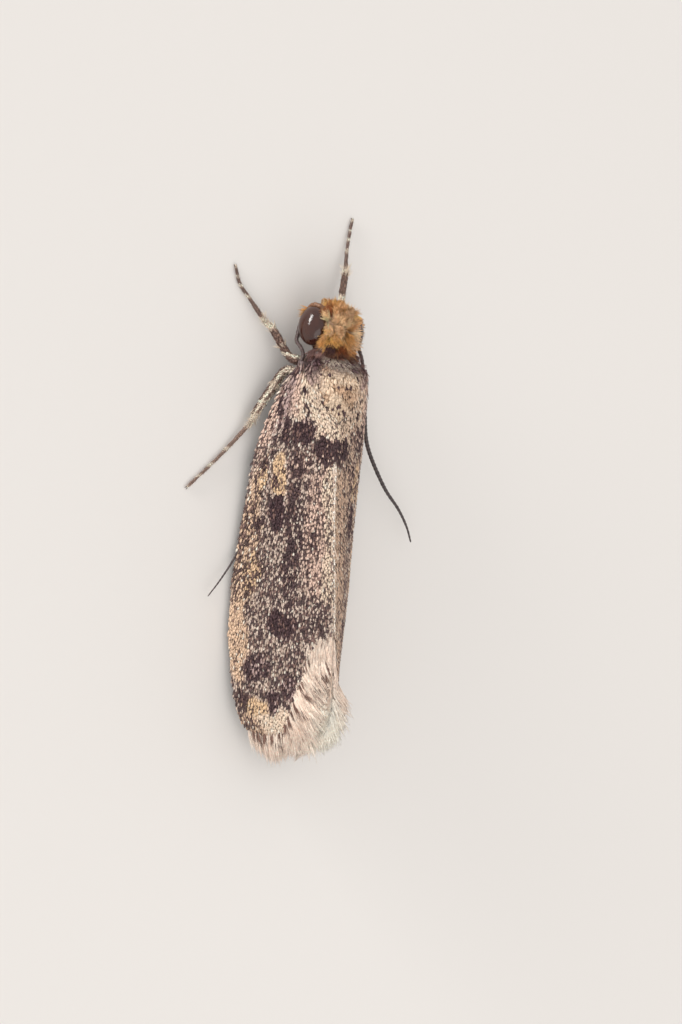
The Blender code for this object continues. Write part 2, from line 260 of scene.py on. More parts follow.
def markings(share, back):
    """The share of dark scales and the colour of the pale ones at places on a wing."""
    warp_share = share + 0.07 * (soft_noise(share * WING_GIRTH, back, 0.34, 1) - 0.5)
    warp_back = back + 0.26 * (soft_noise(share * WING_GIRTH, back, 0.30, 2) - 0.5)
    dark = np.full(len(share), 0.54)
    pale = np.tile(PALE["grey"], (len(share), 1))
    for at_share, at_back, reach_share, reach_back, lean, amount, tone in MARKS:
        away_back = warp_back - at_back
        away = np.hypot((warp_share - at_share - lean * away_back) / reach_share, away_back / reach_back)
        weight = 1 - smoothstep(0.78, 1.18, away)
        dark = dark + weight * (amount - dark)
        pale = mix(pale, PALE[tone], weight)
    shoulder = smoothstep(0.58, 0.70, share) * smoothstep(3.3, 2.6, back)
    stripe = np.sin(2 * math.pi * (share / 0.085 + 0.5 * soft_noise(share, back, 0.8, 3)))
    return np.clip(dark + 0.40 * shoulder * stripe, 0, 1), pale


def wing_sheet(name, side, shares, backs, depth, thickness, gap):
    """A sheet below a wing's outer side, closed all round, and the share and back of its outer points."""
    share, back = (a.ravel() for a in np.meshgrid(shares, backs, indexing="ij"))
    points, normals, _, _ = wing_frame(share, back)
    below = np.reshape(depth(share, back), (-1, 1))
    outer, inner = points - below * normals, points - (below + thickness) * normals
    every = np.vstack((outer, inner))
    every[:, 0] = np.maximum(every[:, 0], gap)
    under = len(share)
    grid = np.arange(under).reshape(len(shares), len(backs))
    quads = np.stack((grid[:-1, :-1], grid[1:, :-1], grid[1:, 1:], grid[:-1, 1:]), axis=-1).reshape(-1, 4)
    rim = [*grid[0], *grid[1:, -1], *grid[-1, -2::-1], *grid[-2:0:-1, 0]]
    faces = [*quads, *(quads[:, [0, 3, 2, 1]] + under)]
    faces += [(a, b, b + under, a + under) for a, b in zip(rim, rim[1:] + rim[:1])]
    made = mesh_object(name, every * (side, 1, 1), [face[::side] for face in faces])
    return made, share, back


def wing_film(name, side):
    """One wing's film, in the colours that its scales carry, made darker as painted shade under them, with
    its underside a darker copy again as painted shade.
    """
    shares, backs = np.linspace(0, 1, 44), np.linspace(*WING_SPAN, 150)
    made, share, back = wing_sheet(name, side, shares, backs, film_depth, MEMBRANE, HALF_GAP)
    dark, pale = markings(share, back)
    # painted shade: the film is a darker copy of its scales' colours, so that the gaps between the scales
    # read as shaded
    colour = mix(pale * 0.62, UMBER, dark)
    bare = smoothstep(-0.10, 0.10, back - along(TERMEN, share))
    colour = mix(colour, PALE["cream"] * 0.9, bare)
    # painted shade: the underside is a copy of the upper side at 0.8 of its brightness
    paint(made, np.vstack((colour, colour * 0.8)))
    return made


def feed(node, values):
    """Gives each named input of a node its number, or a link from another node's output."""
    for key, value in values.items():
        socket = node.inputs[key]
        if isinstance(value, bpy.types.NodeSocket):
            node.id_data.links.new(value, socket)
        else:
            socket.default_value = value


def add_node(tree, kind, values=None, **settings):
    """Adds a node with its settings and links, and returns its outputs."""
    node = tree.nodes.new(kind)
    for key, value in settings.items():
        setattr(node, key, value)
    feed(node, values or {})
    return node.outputs


def new_material(name):
    """A material, its node tree, its shader and the coordinates of the object."""
    made = bpy.data.materials.new(name)
    made.use_nodes = True
    tree = made.node_tree
    return made, tree, tree.nodes["Principled BSDF"], add_node(tree, "ShaderNodeTexCoord")["Object"]


CHITIN_IOR = 1.56


def pitted_chitin(name, cell, depth, strength, between, roughness):
    """Chitin in the tint of its mesh, with pits so many millimetres wide and deep, darker between them."""
    made, tree, shader, place = new_material(name)
    tint = add_node(tree, "ShaderNodeAttribute", attribute_name="tint")
    pits = add_node(tree, "ShaderNodeTexVoronoi", {"Vector": place, "Scale": 1 / (cell * MM)})["Distance"]
    shade = add_node(tree, "ShaderNodeMix", {0: pits, 6: tint["Color"], 7: (*between, 1)}, data_type="RGBA")
    bump = add_node(tree, "ShaderNodeBump", {"Height": pits, "Distance": depth * MM, "Strength": strength})
    feed(shader, {"Base Color": shade[2], "Normal": bump[0], "Roughness": roughness, "IOR": CHITIN_IOR})
    return made


# Wing film: chitin about 0.05 mm thick here, satin, with the scales' sockets as fine pits.
film = pitted_chitin("wing_film_chitin", 0.08, 0.01, 0.6, (0.05, 0.035, 0.035), 0.5)
for side, label in SIDES:
    made = wing_film(f"forewing_film_{label}", side)
    made.data.materials.append(film)
    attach(made, "root")
    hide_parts(f"forewing_{label}")

# --- Hindwings --------------------------------------------------------------------------------
# Narrow grey-brown wings folded flat against the inside of the forewings. Only their hind parts
# are wide enough to matter, and they end in a deep fringe like the forewings'.

HIND_SHARES = (0.02, 0.62)
HIND_SPAN = (3.0, 9.0)
HIND_DEPTH = 0.16  # below the forewing's outer side
HIND_FILM = 0.04


def recalculate_faces(data):
    """Works out anew which way the faces of a closed mesh point."""
    shell = bmesh.new()
    shell.from_mesh(data)
    bmesh.ops.recalc_face_normals(shell, faces=shell.faces)
    shell.to_mesh(data)
    shell.free()


for side, label in SIDES:
    made, share, back = wing_sheet(
        f"hindwing_film_{label}", side, np.linspace(*HIND_SHARES, 20), np.linspace(*HIND_SPAN, 60),
        lambda share, back: HIND_DEPTH, HIND_FILM, HALF_GAP + 0.03,
    )
    recalculate_faces(made.data)
    colour = linear("#9A8E86") * (0.85 + 0.3 * soft_noise(share, back, 0.2, 5))[:, None]
    # painted shade: the underside is a copy of the upper side at 0.9 of its brightness
    paint(made, np.vstack((colour, colour * 0.9)))
    made.data.materials.append(film)
    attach(made, "root")
    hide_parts(f"hindwing_{label}")

# --- Skin -------------------------------------------------------------------------------------
# The head, neck, thorax, abdomen, palps and legs are one hardened skin of brown chitin. It lies
# inside the solids by the depth of the coat, and everything on it is rooted in it.

HEAD = (
    (0.08, 0.10, 0.92, 0.10), (0.18, 0.30, 0.92, 0.25), (0.38, 0.43, 0.92, 0.33),
    (0.70, 0.46, 0.92, 0.36), (0.98, 0.44, 0.92, 0.34), (1.20, 0.38, 0.93, 0.31),
)
HEAD_ASIDE = 0.04  # the head is held a little to the moth's left
NECK = ((1.10, 0.34, 0.92, 0.28), (1.30, 0.36, 0.93, 0.32), (1.50, 0.46, 0.94, 0.36))
THORAX = (
    (1.23, 0.36, 0.95, 0.30), (1.45, 0.56, 0.96, 0.42), (1.85, 0.66, 0.97, 0.47),
    (2.40, 0.64, 0.93, 0.46), (2.90, 0.54, 0.84, 0.40), (3.25, 0.46, 0.74, 0.34), (3.45, 0.40, 0.66, 0.30),
)
ABDOMEN = (
    (3.28, 0.40, 0.62, 0.28), (4.10, 0.42, 0.60, 0.27), (4.90, 0.43, 0.62, 0.28),
    (5.70, 0.41, 0.60, 0.27), (6.30, 0.32, 0.54, 0.22), (6.75, 0.20, 0.44, 0.14), (7.10, 0.07, 0.40, 0.07),
)
BODY_ROOM = 0.16  # kept between the skin and the outer side of the wings
BODY_LEAST = 0.3  # the wings press no part of the body lower than this
FAR = 9.0  # further than anything on the moth
# Middle lines as (across, back, up, radius).
PALP = ((0.16, 0.34, 0.74, 0.08), (0.20, 0.14, 0.71, 0.085), (0.22, 0.02, 0.68, 0.05))
LEGS = {
    "fore_left": (
        (0.28, 1.46, 0.62, 0.13), (0.55, 1.40, 0.50, 0.12), (0.80, 1.305, 0.38, 0.085),
        (1.20, 0.80, 0.30, 0.08), (1.36, 0.68, 0.25, 0.060), (1.71, 0.246, 0.12, 0.046),
        (1.98, -0.07, 0.06, 0.042), (2.13, -0.44, 0.05, 0.036),
    ),
    "mid_left": (
        (0.28, 2.10, 0.60, 0.13), (0.54, 1.78, 0.54, 0.12), (0.84, 1.64, 0.44, 0.095),
        (1.10, 2.08, 0.34, 0.100), (1.37, 2.60, 0.26, 0.080), (1.45, 2.84, 0.18, 0.052),
        (1.76, 3.28, 0.09, 0.046), (2.20, 3.79, 0.06, 0.040), (2.73, 4.34, 0.05, 0.034),
    ),
    "hind_left": (
        (0.26, 2.94, 0.50, 0.15), (0.50, 3.30, 0.36, 0.13), (0.58, 3.70, 0.26, 0.10),
        (0.62, 4.60, 0.16, 0.095), (0.64, 5.30, 0.09, 0.055), (0.64, 6.20, 0.06, 0.045),
        (0.60, 7.00, 0.05, 0.036),
    ),
    "fore_right": (
        (-0.28, 1.46, 0.62, 0.13), (-0.34, 0.70, 0.48, 0.11), (-0.373, -0.02, 0.38, 0.075),
        (-0.48, -0.58, 0.24, 0.07), (-0.51, -0.76, 0.18, 0.050), (-0.537, -1.08, 0.11, 0.043),
        (-0.59, -1.50, 0.06, 0.040), (-0.635, -1.795, 0.05, 0.036),
    ),
    "mid_right": (
        (-0.28, 2.20, 0.58, 0.15), (-0.62, 1.90, 0.46, 0.13), (-0.92, 1.80, 0.35, 0.10),
        (-1.06, 2.50, 0.24, 0.085), (-1.09, 3.20, 0.12, 0.055), (-1.12, 4.10, 0.06, 0.045),
        (-1.12, 4.70, 0.05, 0.036),
    ),
    "hind_right": (
        (-0.26, 2.94, 0.50, 0.15), (-0.46, 3.30, 0.36, 0.13), (-0.53, 3.70, 0.26, 0.10),
        (-0.56, 4.60, 0.16, 0.095), (-0.56, 5.30, 0.09, 0.055), (-0.58, 6.20, 0.06, 0.045),
        (-0.58, 7.00, 0.05, 0.036),
    ),
}
SKIN_GRID = 0.024  # grid of the one closed skin
BATCH = 20000  # so many of its points are coloured at once


def smooth_path(points, per_span):
    """A Catmull-Rom line through points, with per_span steps between neighbours."""
    knots = np.array(points, dtype=float)
    padded = np.vstack((2 * knots[0] - knots[1], knots, 2 * knots[-1] - knots[-2]))
    line = []
    for before, start, end, after in zip(padded, padded[1:], padded[2:], padded[3:]):
        for t in np.linspace(0, 1, per_span, endpoint=False):
            line.append(
                0.5 * (2 * start + (end - before) * t
                       + (2 * before - 5 * start + 4 * end - after) * t**2
                       + (3 * start - before - 3 * end + after) * t**3)
            )
    line.append(knots[-1])
    return np.array(line)


def loft(rings):
    """The points and faces of a closed body through rings of equal length."""
    rings = [np.asarray(ring) for ring in rings]
    count = len(rings[0])
    faces = []
    for number in range(len(rings) - 1):
        for i in range(count):
            j = (i + 1) % count
            a, b = number * count, (number + 1) * count
            faces.append((a + i, a + j, b + j, b + i))
    faces.append(tuple(range(count))[::-1])
    faces.append(tuple(range((len(rings) - 1) * count, len(rings) * count)))
    return np.vstack(rings), faces


def wing_ceiling(points):
    """Lowers points of the body that would stand through the folded wings."""
    back = points[0, 1]
    if back < WING_SPAN[0]:
        return points
    roof = wing_surface(np.linspace(0, 1, 60), back)
    limit = np.interp(np.abs(points[:, 0]), roof[:, 0], roof[:, 2], left=FAR, right=roof[-1, 2]) - BODY_ROOM
    points[:, 2] = np.minimum(points[:, 2], np.maximum(limit, BODY_LEAST))
    return points


def round_angles(sides):
    """Angles at even steps round a ring."""
    return np.linspace(0, 2 * math.pi, sides, endpoint=False)


def oval_body(table, aside=0.0, count=36, sides=40):
    """An oval length of the body that stays under the wings."""
    rings = []
    angles = round_angles(sides)
    for back in np.linspace(table[0][0], table[-1][0], count):
        half, middle, height = along(table, back)
        ring = np.column_stack(
            (aside + half * np.cos(angles), np.full(sides, back), middle + height * np.sin(angles))
        )
        rings.append(wing_ceiling(ring))
    return loft(rings)


def spokes(ahead, angles):
    """Directions square to a limb, at angles round it from its level side."""
    side = unit(np.cross(ahead, (0, 0, 1)))
    return np.outer(np.cos(angles), side) + np.outer(np.sin(angles), np.cross(side, ahead))


def limb(line, sides):
    """A round limb about its middle line, whose last column is its radius."""
    forward = unit(np.gradient(line[:, :3], axis=0))
    angles = round_angles(sides)
    return loft([centre[:3] + centre[3] * spokes(ahead, angles) for centre, ahead in zip(line, forward)])


def ball(centre, radii, sides=20):
    """The points and faces of an ellipsoid."""
    angles = round_angles(sides)
    rings = []
    for tilt in np.linspace(-math.pi / 2 + 0.12, math.pi / 2 - 0.12, sides // 2):
        level, up = math.cos(tilt), np.full(sides, math.sin(tilt))
        ring = np.column_stack((level * np.cos(angles), level * np.sin(angles), up))
        rings.append(ring * radii + centre)
    return loft(rings)


TARSUS_START = {"fore_left": 0.60, "fore_right": 0.64, "mid_left": 0.52}  # share of the leg's length


def knuckles(name, count):
    """Swells a foot at the end of each of its five joints."""
    share = np.linspace(0, 1, count)
    start = TARSUS_START.get(name, 0.66)
    phase = np.clip((share - start) / (1 - start), 0, 1) * 5
    return 1 + 0.16 * (share > start) * (phase % 1) ** 3


def skin_parts():
    """Each part of the body as points and faces."""
    yield oval_body(HEAD, HEAD_ASIDE)
    for table in (NECK, THORAX, ABDOMEN):
        yield oval_body(table)
    for side, _ in SIDES:
        yield limb(smooth_path([(side * a + HEAD_ASIDE, b, c, r) for a, b, c, r in PALP], 6), 14)
        yield ball((side * 0.20 + HEAD_ASIDE, 0.42, 0.76), (0.20, 0.22, 0.18))  # cheek
        yield ball((side * 0.34, 1.28, 0.90), (0.24, 0.20, 0.26))  # lobe of the collar
        yield ball((side * 0.54, 1.62, 1.12), (0.18, 0.30, 0.13))  # tegula, over the wing's hinge
    for name, points in LEGS.items():
        line = smooth_path(points, 10)
        line[:, 3] *= knuckles(name, len(line))
        yield limb(line, 14)


def joined(parts):
    """The points and faces of several parts as one."""
    points, faces, start = [], [], 0
    for own_points, own_faces in parts:
        points.append(own_points)
        faces += [[start + i for i in face] for face in own_faces]
        start += len(own_points)
    return np.vstack(points), faces


def settle(made):
    """Turns an object with modifiers into a plain mesh of the same name."""
    bpy.context.view_layer.update()
    evaluated = made.evaluated_get(bpy.context.evaluated_depsgraph_get())
    plain, before = bpy.data.meshes.new_from_object(evaluated), made.data
    made.modifiers.clear()
    made.data = plain
    bpy.data.meshes.remove(before)
    plain.name = made.name
    return plain


def close_skin():
    """All parts of the body under one skin, with no seam between them."""
    points, faces = joined(skin_parts())
    data = bpy.data.meshes.new("skin")
    data.from_pydata(points.tolist(), [], faces)  # one unit is a millimetre until it is closed
    recalculate_faces(data)
    made = bpy.data.objects.new("skin", data)
    bpy.context.scene.collection.objects.link(made)
    grid = made.modifiers.new("close", "REMESH")
    grid.mode = "VOXEL"
    grid.voxel_size = SKIN_GRID
    relax = made.modifiers.new("relax", "CORRECTIVE_SMOOTH")
    relax.iterations = 6
    relax.use_only_smooth = True
    settle(made)
    return made


skin = close_skin()
skin_points = np.zeros(len(skin.data.vertices) * 3)
skin.data.vertices.foreach_get("co", skin_points)
skin_points = skin_points.reshape(-1, 3)
skin_tree = BVHTree.FromPolygons(skin_points.tolist(), [tuple(p.vertices) for p in skin.data.polygons])
skin.data.transform(Matrix.Scale(MM, 4) @ Matrix.Translation((0, FRONT, 0)))
skin.data.shade_smooth()

LEG_DARK, LEG_BROWN, LEG_PALE = linear("#614741"), linear("#B39380"), linear("#FBE8D2")
LEG_LINES = {name: smooth_path(points, 24) for name, points in LEGS.items()}
LEG_RINGS = {  # the pale rings, each as distance back and half width
    "fore_left": ((1.33, 0.03), (0.72, 0.11), (0.185, 0.035), (-0.02, 0.028), (-0.20, 0.022), (-0.43, 0.05)),
    "fore_right": (
        (-0.02, 0.06), (-0.62, 0.035), (-1.08, 0.04), (-1.33, 0.03), (-1.53, 0.025), (-1.79, 0.06),
    ),
    "mid_left": ((2.30, 0.03), (2.74, 0.15), (3.42, 0.045), (3.79, 0.04), (4.05, 0.03), (4.34, 0.05)),
}
OTHER_RINGS = ((3.60, 0.06), (4.62, 0.10), (5.30, 0.05), (5.85, 0.04), (6.30, 0.04), (6.98, 0.05))


def leg_colour(name, back, lean):
    """Colour along a leg: dark scales with pale rings at the joints, and brown streaks that grow stronger
    towards the top as painted light. lean is 0 below and 1 on top.
    """
    streak = soft_noise(back, lean, 0.25, 33)
    # the lighter brown streaks are the leg's own; their growing stronger towards the top of the leg is
    # painted light
    colour = mix(LEG_DARK, LEG_BROWN, 0.15 + 0.45 * lean * streak)
    if name == "mid_left":  # its shin is cream with a brown stripe down either side
        shin = smoothstep(2.72, 2.60, back) * smoothstep(0.30, 0.55, lean) * smoothstep(0.99, 0.88, lean)
        foot = smoothstep(2.74, 2.90, back)  # and its foot is lighter than the others
        colour = mix(mix(colour, LEG_PALE, 0.88 * shin), LEG_BROWN, 0.6 * foot)
    for centre, reach in LEG_RINGS.get(name, OTHER_RINGS):
        colour = mix(colour, LEG_PALE, 1 - smoothstep(0.75, 1.35, np.abs(back - centre) / reach))
    return colour


HEAD_HUES = {
    "rust": linear("#9A5830"), "ochre": linear("#DBA364"), "gold": linear("#ECB56C"),
    "tan": linear("#EDC196"), "peach": linear("#FFDDB4"), "wine": linear("#553639"),
}
HEAD_LOCKS = (  # coloured locks as across, back, reach and hue
    (0.28, 0.62, 0.26, "tan"), (0.44, 0.58, 0.10, "peach"), (-0.05, 0.45, 0.22, "tan"),
    (0.40, 0.12, 0.18, "gold"), (0.36, 0.32, 0.13, "rust"), (-0.12, 0.16, 0.16, "tan"),
    (0.24, 0.86, 0.15, "gold"), (-0.24, 0.62, 0.13, "rust"), (-0.64, 0.82, 0.30, "peach"),
    (0.04, 1.00, 0.12, "rust"), (-0.22, 0.95, 0.14, "tan"), (0.26, 1.00, 0.09, "wine"),
    (0.55, 0.30, 0.16, "gold"), (-0.42, 0.54, 0.11, "wine"),
)


def head_colour(points):
    """Colour of the hair at places on the head: ochre, with locks of rust, gold, tan and peach."""
    across, back, up = points.T
    fine = soft_noise(across * 1.2 + 3, back * 1.2 + up, 0.09, 8)[:, None]
    colour = HEAD_HUES["ochre"] * (0.78 + 0.5 * fine)
    for at_across, at_back, reach, hue in HEAD_LOCKS:
        away = np.hypot(across - at_across, back - at_back) / reach + 0.5 * (fine[:, 0] - 0.5)
        colour = mix(colour, HEAD_HUES[hue], 1 - smoothstep(0.6, 1.15, away))
    return mix(colour, HEAD_HUES["wine"], 0.9 * smoothstep(0.99, 1.14, back + 0.12 * across))


def thorax_colour(points):
    """Cream and tan over the back, mauve at the sides, brown-purple at the collar and grey below."""
    across, back, up = points.T
    patches = soft_noise(across, back, 0.22, 12)
    colour = mix(linear("#F2D8BD"), linear("#D2AE90"), smoothstep(0.45, 0.85, patches))
    side = smoothstep(0.34, 0.62, np.abs(across)) * (1 - smoothstep(1.7, 2.2, back))
    colour = mix(colour, linear("#A58885"), 0.8 * side)
    colour = mix(colour, linear("#5F4549"), 1 - smoothstep(1.36, 1.58, back + 0.1 * (patches - 0.5)))
    return mix(colour, linear("#A08B7E"), 1 - smoothstep(0.6, 0.9, up))


def skin_colours(points):
    """The coat's colours on the skin, made a little darker as painted shade from the coat that lies over it.
    """
    colour = np.where((points[:, 1] < 1.22)[:, None], head_colour(points), thorax_colour(points))
    colour = mix(colour, linear("#A89888"), smoothstep(3.0, 3.4, points[:, 1]))  # the belly
    nearest = np.full(len(points), FAR)
    for name, line in LEG_LINES.items():
        line = line[::3]
        for start in range(0, len(points), BATCH):
            batch = slice(start, start + BATCH)
            part = points[batch]
            gaps = np.linalg.norm(part[:, None] - line[None, :, :3], axis=2)
            closest, reach = gaps.argmin(axis=1), gaps.min(axis=1)
            on_leg = (reach < line[closest, 3] * 1.6) & (reach < nearest[batch]) & (closest > 6)
            if on_leg.any():
                own = leg_colour(name, part[:, 1], np.full(len(part), 0.5))
                colour[batch][on_leg] = own[on_leg]
                nearest[batch][on_leg] = reach[on_leg]
    # painted shade: the whole skin is a darker copy of the coat's colours
    return colour * 0.7


def cuticle_material():
    """Insect skin: hardened chitin, semi-gloss, covered in pores and folds about 0.01 mm wide.

    The folds are drawn three times as wide, so that they show."""
    made, tree, shader, place = new_material("brown_cuticle_chitin")
    tint = add_node(tree, "ShaderNodeAttribute", attribute_name="tint")["Color"]
    folds = add_node(
        tree, "ShaderNodeTexNoise", {"Vector": place, "Scale": 1 / (0.03 * MM), "Detail": 4.0}
    )["Fac"]
    shade = add_node(tree, "ShaderNodeMix", {0: folds, 6: tint, 7: (0.06, 0.035, 0.03, 1)}, data_type="RGBA")
    rough = add_node(tree, "ShaderNodeMapRange", {0: folds, 3: 0.35, 4: 0.6})
    bump = add_node(tree, "ShaderNodeBump", {"Height": folds, "Distance": 0.012 * MM, "Strength": 0.7})
    feed(shader, {"Base Color": shade[2], "Roughness": rough[0], "Normal": bump[0], "IOR": CHITIN_IOR})
    return made


paint(skin, skin_colours(skin_points))
skin.data.materials.append(cuticle_material())
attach(skin, "root")
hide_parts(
    "head", "thorax", "abdomen", "palp_left", "palp_right", *(f"leg_{name}" for name in LEGS),
)

# --- Eyes -------------------------------------------------------------------------------------
# Each compound eye is a dome of several hundred tiny lenses over dark pigment. It is set into the
# side of the head, and the hair of the crown hangs over its upper rim.

EYE_CENTRE = {1: np.array((0.53, 0.64, 0.82)), -1: np.array((-0.39, 0.70, 0.80))}
EYE_RADII = np.array((0.295, 0.42, 0.36))
LENS = 0.028  # width of one lens, about twice the real one so that it shows


def eye_material():
    """Cornea over screening pigment: clear, smooth chitin, dark wine brown, with one dimple a lens."""
    made, tree, shader, place = new_material("faceted_cornea")
    lens = add_node(tree, "ShaderNodeTexVoronoi", {"Vector": place, "Scale": 1 / (LENS * MM)})
    zones = add_node(tree, "ShaderNodeTexNoise", {"Vector": place, "Scale": 1 / (0.3 * MM), "Detail": 2.0})
    shade = add_node(
        tree, "ShaderNodeMix",
        {0: zones["Fac"], 6: (*linear("#240D0A"), 1), 7: (*linear("#4A2519"), 1)}, data_type="RGBA",
    )
    bump = add_node(
        tree, "ShaderNodeBump", {"Height": lens["Distance"], "Distance": 0.006 * MM, "Strength": 0.25},
        invert=True,
    )
    feed(shader, {"Base Color": shade[2], "Normal": bump[0], "Roughness": 0.10, "IOR": 1.6})
    return made


cornea = eye_material()
for side, label in SIDES:
    dome = bmesh.new()
    bmesh.ops.create_icosphere(dome, subdivisions=5, radius=1)
    dome.verts.ensure_lookup_table()
    points = np.array([v.co for v in dome.verts]) * EYE_RADII + EYE_CENTRE[side]
    faces = [[v.index for v in face.verts] for face in dome.faces]
    dome.free()
    eye = mesh_object(f"compound_eye_{label}", points, faces)
    eye.data.materials.append(cornea)
    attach(eye, "root")
    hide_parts(f"eye_{label}")

# --- Antennae ---------------------------------------------------------------------------------
# Threads of about forty ringed joints on a thick first joint beside the face. The left one is held
# back under the wing and shows again behind it, and the right one swings free of the body.

ANTENNAE = {
    "left": (
        (0.36, 0.30, 0.98, 0.060), (0.49, 0.21, 0.90, 0.062), (0.56, 0.21, 0.74, 0.052),
        (0.53, 0.33, 0.52, 0.048), (0.61, 0.62, 0.42, 0.046), (0.67, 0.86, 0.46, 0.045),
        (0.73, 1.00, 0.55, 0.044), (0.65, 1.15, 0.65, 0.043), (0.62, 1.32, 0.69, 0.043),
        (0.74, 1.58, 0.69, 0.042), (0.86, 1.82, 0.66, 0.042), (0.99, 2.10, 0.61, 0.041),
        (1.10, 2.80, 0.47, 0.038), (1.15, 3.60, 0.28, 0.035), (1.20, 4.60, 0.20, 0.030),
        (1.28, 5.20, 0.17, 0.027), (1.46, 5.70, 0.18, 0.024), (1.76, 6.20, 0.20, 0.019),
        (2.03, 6.57, 0.22, 0.013),
    ),
    "right": (
        (-0.28, 0.26, 0.90, 0.060), (-0.40, 0.18, 0.78, 0.060), (-0.51, 0.20, 0.63, 0.056),
        (-0.63, 0.29, 0.51, 0.052), (-0.77, 0.40, 0.46, 0.050), (-0.76, 0.70, 0.52, 0.047),
        (-0.74, 0.96, 0.68, 0.044), (-0.80, 1.20, 0.77, 0.042), (-0.86, 1.50, 0.80, 0.042),
        (-0.96, 1.90, 0.77, 0.044), (-1.08, 2.38, 0.68, 0.048), (-1.36, 3.05, 0.50, 0.047),
        (-1.93, 3.84, 0.40, 0.042), (-2.41, 4.30, 0.34, 0.034), (-2.70, 4.66, 0.30, 0.026),
        (-2.86, 5.00, 0.30, 0.017),
    ),
}
JOINT_LENGTH = 0.095


def distance_along(line):
    """How far each point of a line is from the line's start."""
    return np.concatenate(([0], np.cumsum(np.linalg.norm(np.diff(line[:, :3], axis=0), axis=1))))


def resampled(line, length, places):
    """The middle line and radius at places along a line."""
    return np.column_stack([np.interp(places, length, column) for column in line.T])


def antenna(label, points):
    """A thread of joints, each a little wider towards its far end."""
    line = smooth_path(points, 40)
    length = distance_along(line)
    places = np.arange(0, length[-1], JOINT_LENGTH / 5)
    line = resampled(line, length, places)
    phase = (places / JOINT_LENGTH) % 1
    line[:, 3] *= 0.86 + 0.22 * phase**1.5
    line[-1, 3] *= 0.4
    sides = 12
    made = mesh_object(f"antenna_thread_{label}", *limb(line, sides))
    recalculate_faces(made.data)
    colour = mix(linear("#3B2B2B"), linear("#5E4845"), phase < 0.25)
    colour = mix(colour, linear("#8A706C"), 0.6 * smoothstep(2.6, 1.8, places))
    colour = mix(colour, linear("#B07A52"), smoothstep(1.0, 0.5, places))
    colour = mix(colour, linear("#6A5A5C"), 0.5 * smoothstep(0.55, 1.0, places / places[-1]))
    paint(made, np.repeat(colour, sides, axis=0))
    return made


# Antenna: scaled chitin rings, satin, with short rows of flattened scales as the bump.
thread = pitted_chitin("ringed_antenna_chitin", 0.02, 0.008, 0.8, (0.02, 0.014, 0.014), 0.42)
for label, points in ANTENNAE.items():
    made = antenna(label, points)
    made.data.materials.append(thread)
    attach(made, "root")
    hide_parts(f"antenna_{label}")

# --- Forewing scales --------------------------------------------------------------------------
# Flat paddles of chitin about 0.14 mm long, each plugged into the film by a stalk and laid like
# roof tiles with the tips towards the tail. Each scale is of one colour, and the pattern comes
# from how dark and pale ones are mixed.

SCALE_ROW = 0.054  # between rows of scales, as on real wings
SCALE_STEP = 0.031  # between neighbours in a row
SCALE_WIDTH, SCALE_LENGTH, SCALE_DEPTH = 0.044, 0.118, 0.045
SCALE_ROWS_END = 9.45
ROW_WAVER, STEP_WAVER = 0.34, 0.30  # of the distance between rows, and between neighbours
PATCH = 0.003  # each scale's share of the piece's colour map
MAP_REACH = 8.6  # length of wing on the colour map


def shape_object(name, points, faces, blade):
    """A shape to be repeated. blade says how far across and along the scale each point lies."""
    data = bpy.data.meshes.new(name)
    data.from_pydata(np.asarray(points, dtype=float).tolist(), [], faces)
    data.update()
    data.shade_smooth()
    own = data.attributes.new("blade", "FLOAT_VECTOR", "POINT")
    own.data.foreach_set("vector", np.asarray(blade, dtype=np.float32).ravel())
    return bpy.data.objects.new(name, data)


def scale_shape(name, curl, notch):
    """One paddle-shaped scale, a unit long and a unit wide, closed, with its stalk at the origin."""
    outline = [(0, 0), (0.42, 0.34), (0.48, 0.80), (0, 1 - notch), (-0.48, 0.80), (-0.42, 0.34)]
    points = [(x, y, curl * y * y - 0.5 * x * x) for x, y in outline]
    points += [(0, 0.55, curl * 0.3 + 0.12), (0, 0.55, curl * 0.3 - 0.10)]
    count = len(outline)
    faces = [(i, (i + 1) % count, count) for i in range(count)]
    faces += [((i + 1) % count, i, count + 1) for i in range(count)]
    return shape_object(name, points, faces, [(x, y, 0) for x, y, _ in points])


def shape_set(name, shapes):
    """A collection of shapes to pick from."""
    made = bpy.data.collections.new(name)
    bpy.context.scene.collection.children.link(made)
    for shape in shapes:
        made.objects.link(shape)
    return made


